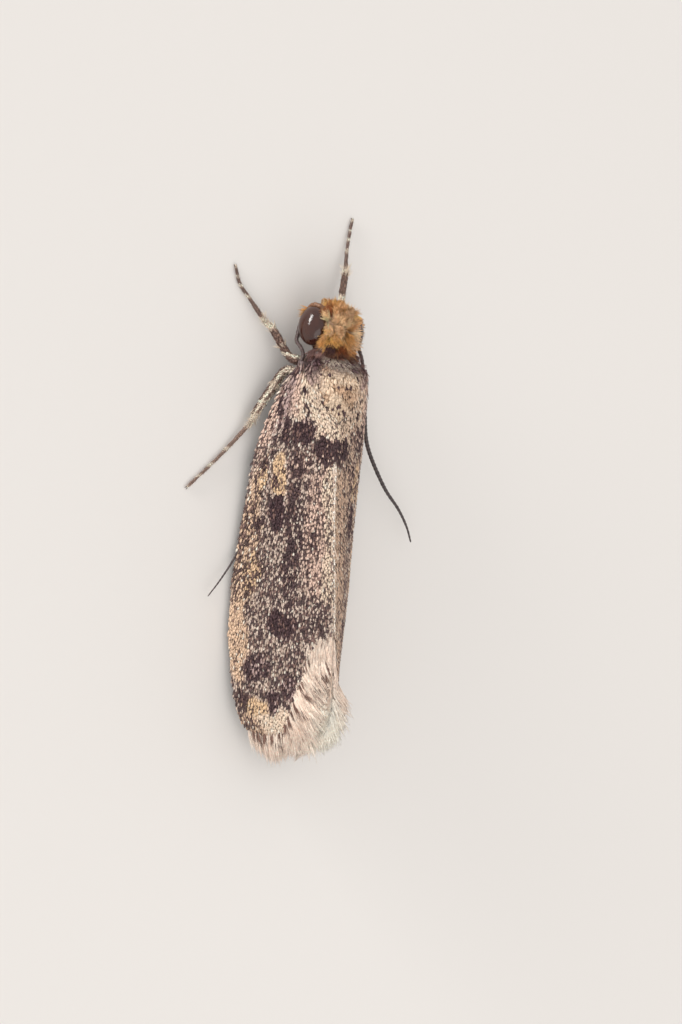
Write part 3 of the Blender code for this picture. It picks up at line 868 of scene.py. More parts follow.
def coat_tree():
    """Nodes that lay one shape on each root, turned to its lie, and keep its tint and its map patch."""
    tree = bpy.data.node_groups.new("lay a coat", "GeometryNodeTree")
    for name, kind in (
        ("Roots", "Geometry"), ("Shapes", "Collection"), ("Turn unevenness", "Float"),
        ("Size unevenness", "Float"), ("Patch width", "Float"), ("Seed", "Int"), ("Finish", "Material"),
    ):
        tree.interface.new_socket(name, in_out="INPUT", socket_type=f"NodeSocket{kind}")
    tree.interface.new_socket("Coat", in_out="OUTPUT", socket_type="NodeSocketGeometry")
    given = add_node(tree, "NodeGroupInput")
    read = {
        key: add_node(tree, "GeometryNodeInputNamedAttribute", {"Name": key}, data_type=kind)[0]
        for key, kind in (
            ("away", "FLOAT_VECTOR"), ("lie", "FLOAT_VECTOR"), ("lift", "FLOAT"), ("size", "FLOAT_VECTOR"),
            ("kind", "INT"), ("blade", "FLOAT_VECTOR"), ("root", "FLOAT_VECTOR"),
        )
    }
    facing = add_node(
        tree, "FunctionNodeAxesToRotation", {"Primary Axis": read["away"], "Secondary Axis": read["lie"]},
        primary_axis="Z", secondary_axis="Y",
    )
    turn, growth, seed = given["Turn unevenness"], given["Size unevenness"], given["Seed"]
    back_turn = add_node(tree, "ShaderNodeMath", {0: turn, 1: -1.0}, operation="MULTIPLY")
    wobble = add_node(
        tree, "FunctionNodeRandomValue", {0: back_turn[0], 1: turn, "Seed": seed}, data_type="FLOAT_VECTOR"
    )
    rise = add_node(tree, "ShaderNodeCombineXYZ", {0: read["lift"]})
    tilt = add_node(tree, "ShaderNodeVectorMath", {0: wobble[0], 1: rise[0]}, operation="ADD")
    angles = add_node(tree, "FunctionNodeEulerToRotation", {0: tilt[0]})
    turned = add_node(
        tree, "FunctionNodeRotateRotation", {"Rotation": facing[0], "Rotate By": angles[0]},
        rotation_space="LOCAL",
    )
    least = add_node(tree, "ShaderNodeMath", {0: 1.0, 1: growth}, operation="SUBTRACT")
    most = add_node(tree, "ShaderNodeMath", {0: 1.0, 1: growth}, operation="ADD")
    grown = add_node(
        tree, "FunctionNodeRandomValue", {2: least[0], 3: most[0], "Seed": seed}, data_type="FLOAT"
    )
    size = add_node(tree, "ShaderNodeVectorMath", {0: read["size"], "Scale": grown[1]}, operation="SCALE")
    shapes = add_node(
        tree, "GeometryNodeCollectionInfo",
        {0: given["Shapes"], "Separate Children": True, "Reset Children": True},
    )
    laid = add_node(
        tree, "GeometryNodeInstanceOnPoints",
        {
            "Points": given["Roots"], "Instance": shapes[0], "Pick Instance": True,
            "Instance Index": read["kind"], "Rotation": turned[0], "Scale": size[0],
        },
    )
    real = add_node(tree, "GeometryNodeRealizeInstances", {0: laid[0]})
    middle = add_node(
        tree, "ShaderNodeVectorMath", {0: read["blade"], 1: (0.0, 0.5, 0.0)}, operation="SUBTRACT"
    )
    patch = add_node(
        tree, "ShaderNodeVectorMath", {0: middle[0], "Scale": given["Patch width"]}, operation="SCALE"
    )
    place = add_node(tree, "ShaderNodeVectorMath", {0: read["root"], 1: patch[0]}, operation="ADD")
    mapped = add_node(
        tree, "GeometryNodeStoreNamedAttribute", {"Geometry": real[0], "Name": "OFBake", "Value": place[0]},
        data_type="FLOAT2", domain="CORNER",
    )
    dressed = add_node(tree, "GeometryNodeSetMaterial", {0: mapped[0], "Material": given["Finish"]})
    add_node(tree, "NodeGroupOutput", {0: dressed[0]})
    return tree


lay_coat = coat_tree()


def grow(name, roots, shapes, finish, seed, turn=0.12, spread=0.15):
    """Lays a coat on roots, a dict of arrays in millimetres, as one piece of plain mesh."""
    made = mesh_object(name, roots["point"], [], smooth=False)
    count = len(roots["point"])
    kinds = np.random.default_rng(seed).integers(0, len(shapes.objects), count)
    columns = {
        "away": ("FLOAT_VECTOR", "vector", roots["away"]),
        "lie": ("FLOAT_VECTOR", "vector", roots["lie"]),
        "size": ("FLOAT_VECTOR", "vector", np.broadcast_to(roots["size"], (count, 3)) * MM),
        "root": ("FLOAT_VECTOR", "vector", np.column_stack((roots["map"], np.zeros(count)))),
        "lift": ("FLOAT", "value", np.broadcast_to(roots["lift"], count)),
        "kind": ("INT", "value", roots.get("kind", kinds)),
        "tint": ("FLOAT_COLOR", "color", np.column_stack((roots["tint"], np.ones(count)))),
    }
    for key, (kind, field, values) in columns.items():
        own = made.data.attributes.new(key, kind, "POINT")
        own.data.foreach_set(field, np.ascontiguousarray(values).ravel())
    coat = made.modifiers.new("coat", "NODES")
    coat.node_group = lay_coat
    values = {
        "Shapes": shapes, "Turn unevenness": turn, "Size unevenness": spread, "Patch width": PATCH,
        "Seed": seed, "Finish": finish,
    }
    for item in lay_coat.interface.items_tree:
        if item.name in values:
            coat[item.identifier] = values[item.name]
    plain = settle(made)
    for key in columns:
        if key != "tint" and key in plain.attributes:
            plain.attributes.remove(plain.attributes[key])
    plain.shade_smooth()
    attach(made, "root")


def scale_material(name, roughness, ridge, stalk_shade):
    """A scale or flat hair: ridged chitin, matt to satin, and darker towards its stalk as painted shade from
    the scales over it. Real ridges stand about 0.002 mm apart, and are drawn coarser so that they show."""
    made, tree, shader, place = new_material(name)
    tint = add_node(tree, "ShaderNodeAttribute", attribute_name="tint")["Color"]
    blade = add_node(tree, "ShaderNodeAttribute", attribute_name="blade")["Vector"]
    parts = add_node(tree, "ShaderNodeSeparateXYZ", {0: blade})
    uneven = add_node(tree, "ShaderNodeTexNoise", {"Vector": place, "Scale": 1 / (0.06 * MM), "Detail": 2.0})
    # painted shade: the colour falls to stalk_shade at the stalk, where the scales over it would shade it
    stalk = add_node(tree, "ShaderNodeMapRange", {0: parts["Y"], 1: 0.05, 2: 0.70, 3: stalk_shade, 4: 1.08})
    shade = add_node(tree, "ShaderNodeMapRange", {0: uneven["Fac"], 1: 0.3, 2: 0.7, 3: 0.85, 4: 1.12})
    both = add_node(tree, "ShaderNodeMath", {0: stalk[0], 1: shade[0]}, operation="MULTIPLY")
    colour = add_node(tree, "ShaderNodeVectorMath", {0: tint, "Scale": both[0]}, operation="SCALE")
    ridges = add_node(
        tree, "ShaderNodeTexWave", {"Vector": blade, "Scale": ridge, "Distortion": 0.4},
        wave_type="BANDS", bands_direction="X",
    )
    bump = add_node(
        tree, "ShaderNodeBump", {"Height": ridges["Fac"], "Distance": 0.002 * MM, "Strength": 0.6}
    )
    feed(shader, {"Base Color": colour[0], "Normal": bump[0], "Roughness": roughness, "IOR": 1.4})
    return made


paddle = scale_material("ridged_wing_scale_chitin", 0.5, 1.6, 0.68)
CURLS = {"a": (0.10, 0.0), "b": (-0.05, 0.05), "c": (0.22, 0.02)}  # curl and notch of each paddle
paddles = shape_set("paddles", [scale_shape(f"paddle_{key}", *build) for key, build in CURLS.items()])


def wing_map(share, back):
    """Where places on a wing lie on the colour map of its pieces."""
    return np.column_stack((0.02 + 0.96 * share, 0.02 + 0.96 * (back - WING_SPAN[0]) / MAP_REACH))


def wing_roots(seed, side):
    """Staggered rows of roots over the left wing up to the fringe, with their directions and colours."""
    rng = np.random.default_rng(seed)
    shares, backs = [], []
    for number, back in enumerate(np.arange(WING_SPAN[0] + 0.03, SCALE_ROWS_END, SCALE_ROW)):
        edge = wing_surface(np.linspace(0, 1, 40), back)
        width = np.linalg.norm(np.diff(edge, axis=0), axis=1).sum()
        step = SCALE_STEP / width
        row = np.arange((number % 2) * step / 2, 1.0, step)
        row = row + rng.normal(0, STEP_WAVER * step, len(row))
        shares.append(np.clip(row, 0.004, 0.996))
        backs.append(back + rng.normal(0, ROW_WAVER * SCALE_ROW, len(row)))
    share, back = np.concatenate(shares), np.concatenate(backs)
    kept = back < along(TERMEN, share) + 0.15
    share, back = share[kept], back[kept]
    point, normal, backward, costal = wing_frame(share, back)
    dark, pale = markings(share, back)
    if side < 0:  # this wing is paler beside the ridge, with fewer dark scales
        front = 0.7 * smoothstep(0.22, 0.40, share) * smoothstep(2.3, 2.6, back)
        paled_by_ridge = (1 - smoothstep(0.35, 0.62, share)) * np.maximum(smoothstep(3.3, 3.8, back), front)
        dark = dark * (1 - (0.54 + 0.3 * (back < 3.3)) * paled_by_ridge)
        pale = mix(pale, PALE["tan"], 0.4 + 0.4 * paled_by_ridge)

    def drawn():
        return rng.random((len(share), 1))

    fine = (soft_noise(share * WING_GIRTH, back, 0.10, 21) - 0.5) * (dark > 0.12) * (dark < 0.93)
    is_dark = rng.random(len(share)) < np.clip(dark + 0.6 * fine, 0, 1)
    brown = mix(BLACK_BROWN, UMBER, drawn())
    brown = np.where(drawn() < 0.28 - 0.16 * smoothstep(0.6, 0.9, dark)[:, None], MID_BROWN, brown)
    bright = pale * (0.86 + 0.18 * drawn())
    kind = drawn()
    dusty = 0.04 + 0.30 * smoothstep(0.05, 0.5, dark)[:, None]
    bright = np.where(kind < dusty, pale * 0.4 + TAUPE * 0.6, bright)
    # painted highlight: one scale in twenty is near white, standing in for a glint of light off it
    bright = np.where(kind > 0.95, linear("#FFF0E0"), bright)
    tint = np.where(is_dark[:, None], brown, np.clip(bright, 0, 0.95))
    tint = mix(tint, mix(pale, UMBER, dark), 0.14)  # neighbours share some of their colour
    on_seam = (share < 0.012) & (back > 3.5) & (back < 7.0) & (side > 0)  # a white line along the ridge
    tint = np.where(on_seam[:, None], linear("#FFF6EA"), tint)
    lie = unit(backward + costal * (0.10 * (share - 0.35))[:, None])
    grown = 1 + 0.25 * smoothstep(0.86, 1.0, share) - 0.2 * smoothstep(0.15, 0.0, share)
    drawn_out = 1 + 0.9 * smoothstep(2.5, 1.5, back)  # near its hinge the wing's scales are almost hairs
    depth = np.full(len(share), SCALE_DEPTH)
    mirror = (side, 1, 1)
    return {
        "point": (point - (film_depth(share, back) - 0.004)[:, None] * normal) * mirror,
        "away": normal * mirror, "lie": lie * mirror,
        "size": np.column_stack((SCALE_WIDTH * grown, SCALE_LENGTH * grown * drawn_out, depth)),
        "tint": tint, "map": wing_map(share, back), "lift": 0.10 + 0.10 * rng.random(len(share)),
    }


for side, label in SIDES:
    roots = wing_roots(40 + side, side)
    grow(f"forewing_scales_{label}", roots, paddles, paddle, 50 + side)

# --- Wing fringes -----------------------------------------------------------------------------
# Hair-thin scales up to 0.7 mm long stand in layers on the outer margin of both pairs of wings.
# They fan backwards over the tail and, near the ridge, turn up and out, cream with brown bars.


def strand(rng, length, width, bend, lean, root, joints=3):
    """One flattened hair, three-sided and pointed, as points, faces and blade values."""
    points, blade = [], []
    direction = rng.uniform(-1, 1) * lean

    def middle(t):
        along_it = root[1] + t * length * math.cos(bend * t)
        return np.array((root[0] + direction * t * length, along_it, bend * t * t * length * 0.5))

    for k in range(joints):
        t = k / joints
        half = width * (1 - 0.75 * t) * (0.55 + 0.45 * min(1, 4 * t))
        for x, z in ((-half, 0.0), (half, 0.0), (0.0, half * 0.7)):
            points.append(middle(t) + (x, 0, z))
            blade.append((x / width * 0.5, t, 0))
    points.append(middle(1))
    blade.append((0, 1, 0))
    around, tip = ((0, 1), (1, 2), (2, 0)), 3 * joints
    faces = [(2, 1, 0)]
    for a in range(0, tip - 3, 3):
        faces += [(a + i, a + j, a + j + 3, a + i + 3) for i, j in around]
    faces += [(tip - 3 + i, tip - 3 + j, tip) for i, j in around]
    return points, faces, blade


def tuft_shape(name, seed, bend, count, width, lean, spread):
    """A tuft of hairs with their roots close together."""
    rng = np.random.default_rng(seed)
    hairs = [
        strand(
            rng, rng.uniform(0.7, 1.0), width * rng.uniform(0.7, 1.2), bend * rng.uniform(0.5, 1.5), lean,
            (rng.uniform(-spread, spread), rng.uniform(-spread, spread)),
        )
        for _ in range(count)
    ]
    return shape_object(name, *joined(own[:2] for own in hairs), np.vstack([own[2] for own in hairs]))


def tuft_set(name, seed, bends, *build):
    """A collection of tufts, one for each bend."""
    tufts = [tuft_shape(f"{name}_{n}", seed + n, bend, *build) for n, bend in enumerate(bends)]
    return shape_set(name, tufts)


def lying(direction, normal):
    """The part of a direction that lies along the surface."""
    return unit(direction - (direction * normal).sum(axis=1, keepdims=True) * normal)


hair = scale_material("fine_hair_scale_chitin", 0.55, 1.0, 0.85)
cilia = tuft_set("cilia", 60, (0.03, 0.10, -0.08), 3, 0.022, 0.10, 0.035)
FRINGE_CREAM, FRINGE_PINK = linear("#FFF1E2"), linear("#FBE2D0")
FRINGE_BROWN, FRINGE_OLIVE = linear("#86675B"), linear("#FFFAEC")
FRINGE_END = ((0.0, 9.62), (0.25, 9.82), (0.5, 10.03), (0.75, 10.02), (1.0, 9.86))  # by share of the wing
FRINGE_COUNTS = (3300, 280, 540)  # tufts from the margin to the tail, along the ridge and at its end
FRINGE_TOP = 2.28  # no tip is aimed higher
# How far the upper fringe stands out over the lower one, by distance back.
OVERHANG = ((7.9, 0.02), (8.25, 0.10), (8.45, 0.32), (9.0, 0.38), (9.5, 0.14), (9.95, 0.04))


def fringe_roots(seed, side):
    """Layers of roots from the margin of the wing to the tail, and a sparse row along the ridge."""
    rng = np.random.default_rng(seed)
    count, ridge_count, tail_count = FRINGE_COUNTS
    share = rng.random(count) ** 1.25
    start = along(TERMEN, share) - 0.08
    end = along(FRINGE_END, share) - 0.36
    back = start + (end - start) * rng.random(count) ** 0.85
    share = np.concatenate((share, 0.018 * rng.random(ridge_count), 0.12 * rng.random(tail_count)))
    back = np.concatenate((back, rng.uniform(3.4, 7.4, ridge_count), rng.uniform(7.7, 9.45, tail_count)))
    count += ridge_count + tail_count
    point, normal, _, _ = wing_frame(share, back)
    streak = soft_noise(share * 22 + back * 5, back * 2.2, 0.45, 71) + 0.34 * (rng.random(count) - 0.5)
    past_margin = back - along(TERMEN, share)
    outer = smoothstep(8.2, 8.7, back) * (1 - smoothstep(0.10, 0.34, share))
    outer = outer * smoothstep(0.55, 0.95, past_margin)
    near_margin = (1 - smoothstep(0.30, 0.60, past_margin)) * smoothstep(7.6, 8.2, back)
    is_brown = streak > 0.74 - 0.11 * near_margin + 0.3 * outer - 0.10 * smoothstep(0.35, 0.5, share)
    length = 0.42 + 0.26 * rng.random(count) + 0.16 * smoothstep(0.5, 0.2, share) * smoothstep(7.6, 8.6, back)
    length = length * (1 - 0.25 * smoothstep(0.72, 1.0, share)) * (0.48 + 0.52 * smoothstep(7.0, 7.9, back))
    length = np.where(is_brown, 0.55 * length, length)
    if side < 0:  # this fringe lies under the other one
        length = length * 0.75
    room = along(FRINGE_END, share) - back + 0.04 * rng.normal(size=count)
    length = np.minimum(length, np.maximum(room, 0.22))
    fan = 0.95 * (1 - smoothstep(0.20, 0.62, share)) * smoothstep(7.2, 8.2, back)
    fan = fan + 0.10 * rng.normal(size=count)
    fan[-tail_count:] += 0.35
    if side < 0:
        fan = fan * 0.3
    tip_share = share - fan * length / WING_GIRTH
    tip_back = back + length * np.cos(np.arctan(fan))
    tip = wing_surface(np.clip(tip_share, 0, 1), np.minimum(tip_back, 9.95))
    tip[:, 1] = tip_back
    straight = (0.48 if side > 0 else 0.30) * smoothstep(0.45, 0.85, share)  # not narrowing with the wing
    tip = mix(tip, np.column_stack((point[:, 0], tip_back, point[:, 2])), straight)
    edge = along(OVERHANG, tip_back) * rng.uniform(0.80, 1.08, count) if side > 0 else 0.02
    past = np.minimum(np.maximum(-tip_share, 0) * WING_GIRTH, edge)
    tip += past[:, None] * np.array((-0.97, 0.0, -0.10))
    tip[:, 2] -= 0.10 * (side < 0)
    tip[:, 2] = np.minimum(tip[:, 2], FRINGE_TOP)
    lie = unit(tip - point)
    tint = mix(FRINGE_PINK, FRINGE_CREAM, rng.random((count, 1)))
    tint = np.where(is_brown[:, None], FRINGE_BROWN * (0.7 + 0.8 * rng.random((count, 1))), tint)
    lift = (0.02 + 0.09 * rng.random(count) + 0.06 * is_brown) * smoothstep(0.0, 0.2, share)
    mirror = (side, 1, 1)
    return {
        "point": (point - 0.9 * film_depth(share, back)[:, None] * normal) * mirror,
        "away": lying(normal, lie) * mirror, "lie": lie * mirror, "size": length[:, None],
        "tint": mix(tint, FRINGE_OLIVE, 0.9 * outer), "map": wing_map(share, back),
        "lift": lift + 0.10 * smoothstep(9.1, 9.6, back),
    }


for side, label in SIDES:
    roots = fringe_roots(70 + side, side)
    grow(f"wing_fringe_{label}", roots, cilia, hair, 80 + side, 0.08, 0.2)

# --- Hair of the head -------------------------------------------------------------------------
# Rough tufts of narrow scales stand up over the crown and the nape, as on all clothes moths. They
# hang over the inner rim of the left eye, and those above the right one are combed down across it.

crown = tuft_set("crown", 90, (0.15, 0.35, -0.20, -0.35), 6, 0.034, 0.24, 0.10)
DROOPING = 3  # the crown tuft that bends down at its end
HEAD_COUNTS = (2560, 90, 150)  # tufts all round, below the left eye and on the nape
LOCKS = 170  # the hair stands in so many locks
RAY_REACH = 1.2  # how far a ray looks for the skin


def hit_skin(origins, directions):
    """Where rays from inside the body leave the skin, with its normals. Rays that miss are dropped."""
    points, normals, kept = [], [], []
    for number, (origin, direction) in enumerate(zip(origins, directions)):
        place, normal, _, _ = skin_tree.ray_cast(Vector(origin), Vector(direction), RAY_REACH)
        if place is not None and normal.dot(Vector(direction)) > 0.05:
            points.append(place)
            normals.append(normal)
            kept.append(number)
    return np.array(points), np.array(normals), np.array(kept)


def head_roots(seed):
    """Roots all over the head. Neighbours lean together into a lock with one tip and one colour."""
    rng = np.random.default_rng(seed)
    around = unit(rng.normal(size=(HEAD_COUNTS[0], 3)))
    around[:, 2] = np.where(around[:, 2] < -0.35, -around[:, 2], around[:, 2])
    below = unit(np.array((0.75, -0.40, -0.70)) + 0.2 * rng.normal(size=(HEAD_COUNTS[1], 3)))
    behind = unit(np.array((0.0, 0.7, 0.8)) + 0.4 * rng.normal(size=(HEAD_COUNTS[2], 3)))
    starts = ((HEAD_ASIDE, 0.62, 0.92), (0.22, 0.36, 0.74), (HEAD_ASIDE, 0.85, 0.92))
    rays = np.vstack((unit(around * (1, 1.2, 1)), below, behind))
    point, normal, kept = hit_skin(np.repeat(starts, HEAD_COUNTS, axis=0), rays)
    from_cheek = np.repeat((False, True, False), HEAD_COUNTS)[kept]
    on_left = point[:, 0] > HEAD_ASIDE
    off_eye = (point - np.where(on_left[:, None], EYE_CENTRE[1], EYE_CENTRE[-1])) / EYE_RADII
    rim = np.linalg.norm(off_eye, axis=1)
    good = (rim > 1.0) & (point[:, 1] < 1.26)
    point, normal, off_eye, rim, on_left, from_cheek = (
        a[good] for a in (point, normal, off_eye, rim, on_left, from_cheek)
    )

    # The middle root of each lock sets the lock's lean, tip and colour.
    chance = 1 + 2.0 * from_cheek
    first = rng.choice(len(point), LOCKS, replace=False, p=chance / chance.sum())
    own = np.linalg.norm(point[:, None] - point[None, first], axis=2).argmin(axis=1)
    middle, up, side = point[first], normal[first], on_left[first]
    by_eye = (1 - smoothstep(1.0, 1.45, rim[first])) * side
    over_eye = (1 - smoothstep(1.0, 1.7, rim[first])) * ~side * (up[:, 2] > 0.1)
    hanging = over_eye > 0.2  # these hide the right eye
    cheek = from_cheek[first]  # these stand out below the left eye
    rear = smoothstep(0.45, 0.95, middle[:, 1])[:, None]
    outward = np.column_stack((np.sign(middle[:, 0]) * 0.5, np.full(LOCKS, 1.25), np.full(LOCKS, 0.2)))
    lie = np.array((0.0, -1.0, 0.15)) * (1 - rear) + outward * rear
    lie = lie + (0.75 - 0.35 * rear) * rng.normal(size=(LOCKS, 3))
    lie = lie - (0.9 * by_eye / rim[first])[:, None] * off_eye[first]
    lie[:, 0] += 0.5 * ~side * (1 - rear[:, 0])
    lie = lying(lie, up)
    rise = (0.35 + 0.65 * rng.random(LOCKS)) * (0.25 + 0.75 * smoothstep(0.0, 0.7, up[:, 2]))
    length = (0.20 + 0.12 * rng.random(LOCKS)) * (1 - 0.4 * by_eye)
    length = length * (0.6 + 0.4 * smoothstep(0.1, 0.4, middle[:, 1]))
    stand = length[:, None] * (np.cos(rise)[:, None] * lie + np.sin(rise)[:, None] * up)
    across_eye = np.column_stack(
        (rng.uniform(-0.68, -0.48, LOCKS), 0.12 * rng.normal(size=LOCKS), rng.uniform(-0.26, -0.04, LOCKS))
    )
    brow = smoothstep(0.0, -0.25, middle[:, 0]) * smoothstep(0.45, 0.15, middle[:, 1])
    stand[:, 1] += brow * (0.12 - stand[:, 1])  # before the right eye
    stand = mix(stand, across_eye, smoothstep(0.1, 0.3, over_eye))
    tip = middle + np.where(cheek[:, None], (0.38, 0.13, -0.10), stand)
    hue = head_colour(np.where(hanging[:, None], tip, middle)) * rng.uniform(0.78, 1.22, (LOCKS, 1))
    hue = np.where(cheek[:, None], HEAD_HUES["gold"], hue)

    # Each root aims at its lock's tip, and the hair over the right eye is pressed down on it.
    aim = tip[own] + 0.55 * (point - middle[own]) + 0.035 * rng.normal(size=point.shape) - point
    from_eye = point + aim - EYE_CENTRE[-1]
    beyond = np.linalg.norm(from_eye / (EYE_RADII * (1.24, 1.02, 1.24)), axis=1, keepdims=True)
    pressed = hanging[own][:, None] & (beyond > 1)
    aim = np.where(pressed, EYE_CENTRE[-1] + from_eye / np.maximum(beyond, 1) - point, aim)
    reach = np.linalg.norm(aim, axis=1, keepdims=True)
    aim = aim / reach
    tint = (0.30 * head_colour(point) + 0.75 * hue[own]) * rng.uniform(0.80, 1.20, (len(point), 1))
    angle = np.arctan2(point[:, 0], point[:, 2] - 0.9) / (2 * math.pi) + 0.5
    return {
        "point": point - 0.006 * normal, "lie": aim, "away": lying(normal, aim), "lift": 0.0,
        "size": reach * rng.uniform(0.85, 1.05, reach.shape), "tint": np.clip(tint, 0, 0.9),
        "map": np.column_stack((0.02 + 0.96 * angle, np.clip(0.02 + 0.75 * point[:, 1], 0.01, 0.99))),
        "kind": np.where(hanging[own], DROOPING, rng.integers(0, DROOPING, len(point))),
    }


# painted shade: the roots of the head's hair are painted far darker, for the shade between the locks
crown_hair = scale_material("shaded_hair_scale_chitin", 0.6, 1.0, 0.45)
grow("head_hair", head_roots(95), crown, crown_hair, 96, 0.08, 0.15)

# --- Hair of the collar -----------------------------------------------------------------------
# Dusky purple hair-scales lie back from the neck over the front of the thorax, greyer in the
# middle. They hide the joint between the head and the body.

COLLAR_COUNT, NECK_HEIGHT = 900, 0.92


def out_of_middle(back, height, angle):
    """Where rays from the body's middle line leave the skin, each turned by its angle from the top."""
    level = np.zeros(len(back))
    origin = np.column_stack((level, back, np.broadcast_to(height, len(back))))
    return hit_skin(origin, np.column_stack((np.sin(angle), level, np.cos(angle))))


def collar_roots(seed):
    """Roots over the neck and the front of the thorax."""
    rng = np.random.default_rng(seed)
    back = rng.uniform(1.02, 1.44, COLLAR_COUNT)
    angle = rng.uniform(-0.62 * math.pi, 0.62 * math.pi, COLLAR_COUNT)
    point, normal, kept = out_of_middle(back, NECK_HEIGHT, angle)
    near = (point[:, 1] < 1.5) & (np.hypot(point[:, 0], point[:, 2] - NECK_HEIGHT) < 0.62)
    point, normal, angle = point[near], normal[near], angle[kept][near]
    count = len(point)
    outward = np.column_stack((0.35 * np.sin(angle), np.ones(count), np.zeros(count)))
    lie = lying(outward + 0.22 * rng.normal(size=point.shape), normal)
    patches = soft_noise(point[:, 0], point[:, 1], 0.16, 121)
    greyness = smoothstep(0.44, 0.20, np.abs(point[:, 0] - 0.04)) * smoothstep(1.14, 1.28, point[:, 1])
    tint = linear("#84655F") * (0.45 + 1.1 * patches * rng.uniform(0.6, 1.4, count))[:, None]
    tint = mix(tint, linear("#D8C8B8"), np.clip(0.85 * greyness * (0.5 + patches), 0, 1))
    return {
        "point": point - 0.006 * normal, "away": normal, "lie": lie, "tint": tint,
        "size": (rng.uniform(0.20, 0.32, count) * (1 - 0.35 * np.abs(np.sin(angle))))[:, None],
        "map": np.column_stack((0.5 + 0.76 * angle / math.pi, 0.02 + 0.96 * (point[:, 1] - 0.9) / 0.7)),
        "lift": 0.06 + 0.20 * rng.random(count), "kind": rng.integers(0, DROOPING, count),
    }


grow("collar_hair", collar_roots(120), crown, hair, 122, 0.10, 0.2)

# --- Scales of the thorax and abdomen ---------------------------------------------------------
# Longer, blunter scales lie backwards over the thorax and hide the hinges of the wings. Smaller
# ones in rings cover the abdomen, which shows only from below.


def body_roots(seed, table, count, width, length, low, colour):
    """Roots all round an oval length of the body, where it is not too low to be seen."""
    rng = np.random.default_rng(seed)
    front, rear = table[0][0], table[-1][0]
    back = rng.uniform(front + 0.03, rear - 0.06, count)
    angle = rng.uniform(-math.pi, math.pi, count)
    point, normal, kept = out_of_middle(back, along(table, back)[:, 1], angle)
    good = (point[:, 2] > low) & (np.abs(point[:, 1] - back[kept]) < 0.1)
    point, normal, kept = point[good], normal[good], kept[good]
    turn, reach = angle[kept] / (2 * math.pi) + 0.5, (back[kept] - front) / (rear - front)
    return {
        "point": point - 0.004 * normal, "away": normal, "size": (width, length, 0.06),
        "lie": lying(np.array((0, 1.0, 0)) + 0.14 * rng.normal(size=point.shape), normal),
        "tint": colour(point) * (0.82 + 0.36 * rng.random((len(point), 1))),
        "map": np.column_stack((0.02 + 0.96 * turn, 0.02 + 0.96 * reach)),
        "lift": 0.08 + 0.14 * rng.random(len(point)),
    }


roots = body_roots(101, THORAX, 6400, 0.055, 0.17, 0.45, thorax_colour)
spots = soft_noise(roots["point"][:, 0], roots["point"][:, 1], 0.07, 15)
is_dot = (spots > 0.86) & (roots["point"][:, 1] > 1.5)
roots["tint"] = np.where(is_dot[:, None], UMBER, roots["tint"])
grow("thorax_scales", roots, paddles, paddle, 102, 0.18, 0.25)

roots = body_roots(103, ABDOMEN, 3600, 0.06, 0.15, 0.25, lambda points: linear("#A8988A"))
grow("abdomen_scales", roots, paddles, paddle, 104, 0.12, 0.2)

# --- Scales of the legs -----------------------------------------------------------------------
# Small scales lie flat down the legs, dark with pale rings where one joint meets the next. They
# overlap towards the foot, and shrink with the thickness of the leg.

LEG_SCALE_ROW, LEG_SCALE_STEP = 0.036, 0.040  # between rows, and between neighbours in a row


def leg_map(leg, turn, share):
    """Places on the legs' colour map, which has a strip for each leg."""
    return np.column_stack(((leg + 0.03 + 0.94 * turn / (2 * math.pi)) / 6, 0.02 + 0.96 * share))


def leg_roots(seed):
    """Rings of roots down every leg, from where it leaves the body."""
    rng = np.random.default_rng(seed)
    rows = []
    for leg, line in enumerate(LEG_LINES.values()):
        length = distance_along(line)
        places = np.arange(0.12 * length[-1], length[-1] - 0.02, LEG_SCALE_ROW)
        middle = resampled(line, length, places)
        forward = unit(np.gradient(middle[:, :3], axis=0))
        for number, (centre, ahead) in enumerate(zip(middle, forward)):
            count = max(6, int(2 * math.pi * centre[3] / LEG_SCALE_STEP))
            steps = np.arange(count) + (number % 2) / 2 + rng.uniform(-0.2, 0.2, count)
            angles = steps * 2 * math.pi / count
            share = places[number] / length[-1]
            for angle, ray in zip(angles, spokes(ahead, angles)):
                rows.append((*centre[:3], *ray, *ahead, leg, angle % (2 * math.pi), share, centre[3]))
    rows = np.array(rows)
    point, normal, kept = hit_skin(rows[:, :3], rows[:, 3:6])
    rows = rows[kept]
    near = np.linalg.norm(point - rows[:, :3], axis=1) < rows[:, 12] * 1.8
    point, normal, rows = point[near], normal[near], rows[near]
    tint = np.zeros(point.shape)
    for leg, name in enumerate(LEG_LINES):
        own = rows[:, 9] == leg
        # how far each scale faces upwards sets the painted light on the top of its leg
        tint[own] = leg_colour(name, point[own, 1], np.clip(normal[own, 2], 0, 1))
    tint = tint * (0.75 + 0.5 * rng.random((len(point), 1)))
    small = np.clip(rows[:, 12] / 0.08, 0.55, 1.1)  # thin feet have small scales
    return {
        "point": point - 0.003 * normal, "away": normal, "lie": lying(rows[:, 6:9], normal),
        "size": np.column_stack((0.036 * small, 0.085 * small, np.full(len(point), 0.03))),
        "tint": np.clip(tint, 0, 0.9), "map": leg_map(*rows[:, 9:12].T),
        "lift": 0.10 + 0.16 * rng.random(len(point)),
    }


grow("leg_scales", leg_roots(110), paddles, paddle, 111, 0.10, 0.2)

# --- Bristles, spurs and claws of the legs ----------------------------------------------------
# Pale bristles stand round the ends of the shins. Long movable spurs sit there too, one pair on
# the middle shins and two on the hind ones, and each foot ends in two hooked claws.

BRISTLES = {  # where the bristles stand, as distance back and half length
    "fore_left": ((0.72, 0.13), (1.32, 0.08)), "fore_right": ((-0.60, 0.10),),
    "mid_left": ((2.66, 0.17), (1.62, 0.10)), "mid_right": ((2.55, 0.20),),
    "hind_left": ((4.70, 0.45),), "hind_right": ((4.70, 0.45),),
}
BRISTLES_PER_MM = 420  # of half length
SPURS = {  # where each pair stands, as distance back along the leg
    "mid_left": (2.70,), "mid_right": (2.62,), "hind_left": (4.10, 4.85), "hind_right": (4.10, 4.85),
}
SPUR_LENGTH, CLAW_LENGTH = 0.26, 0.06


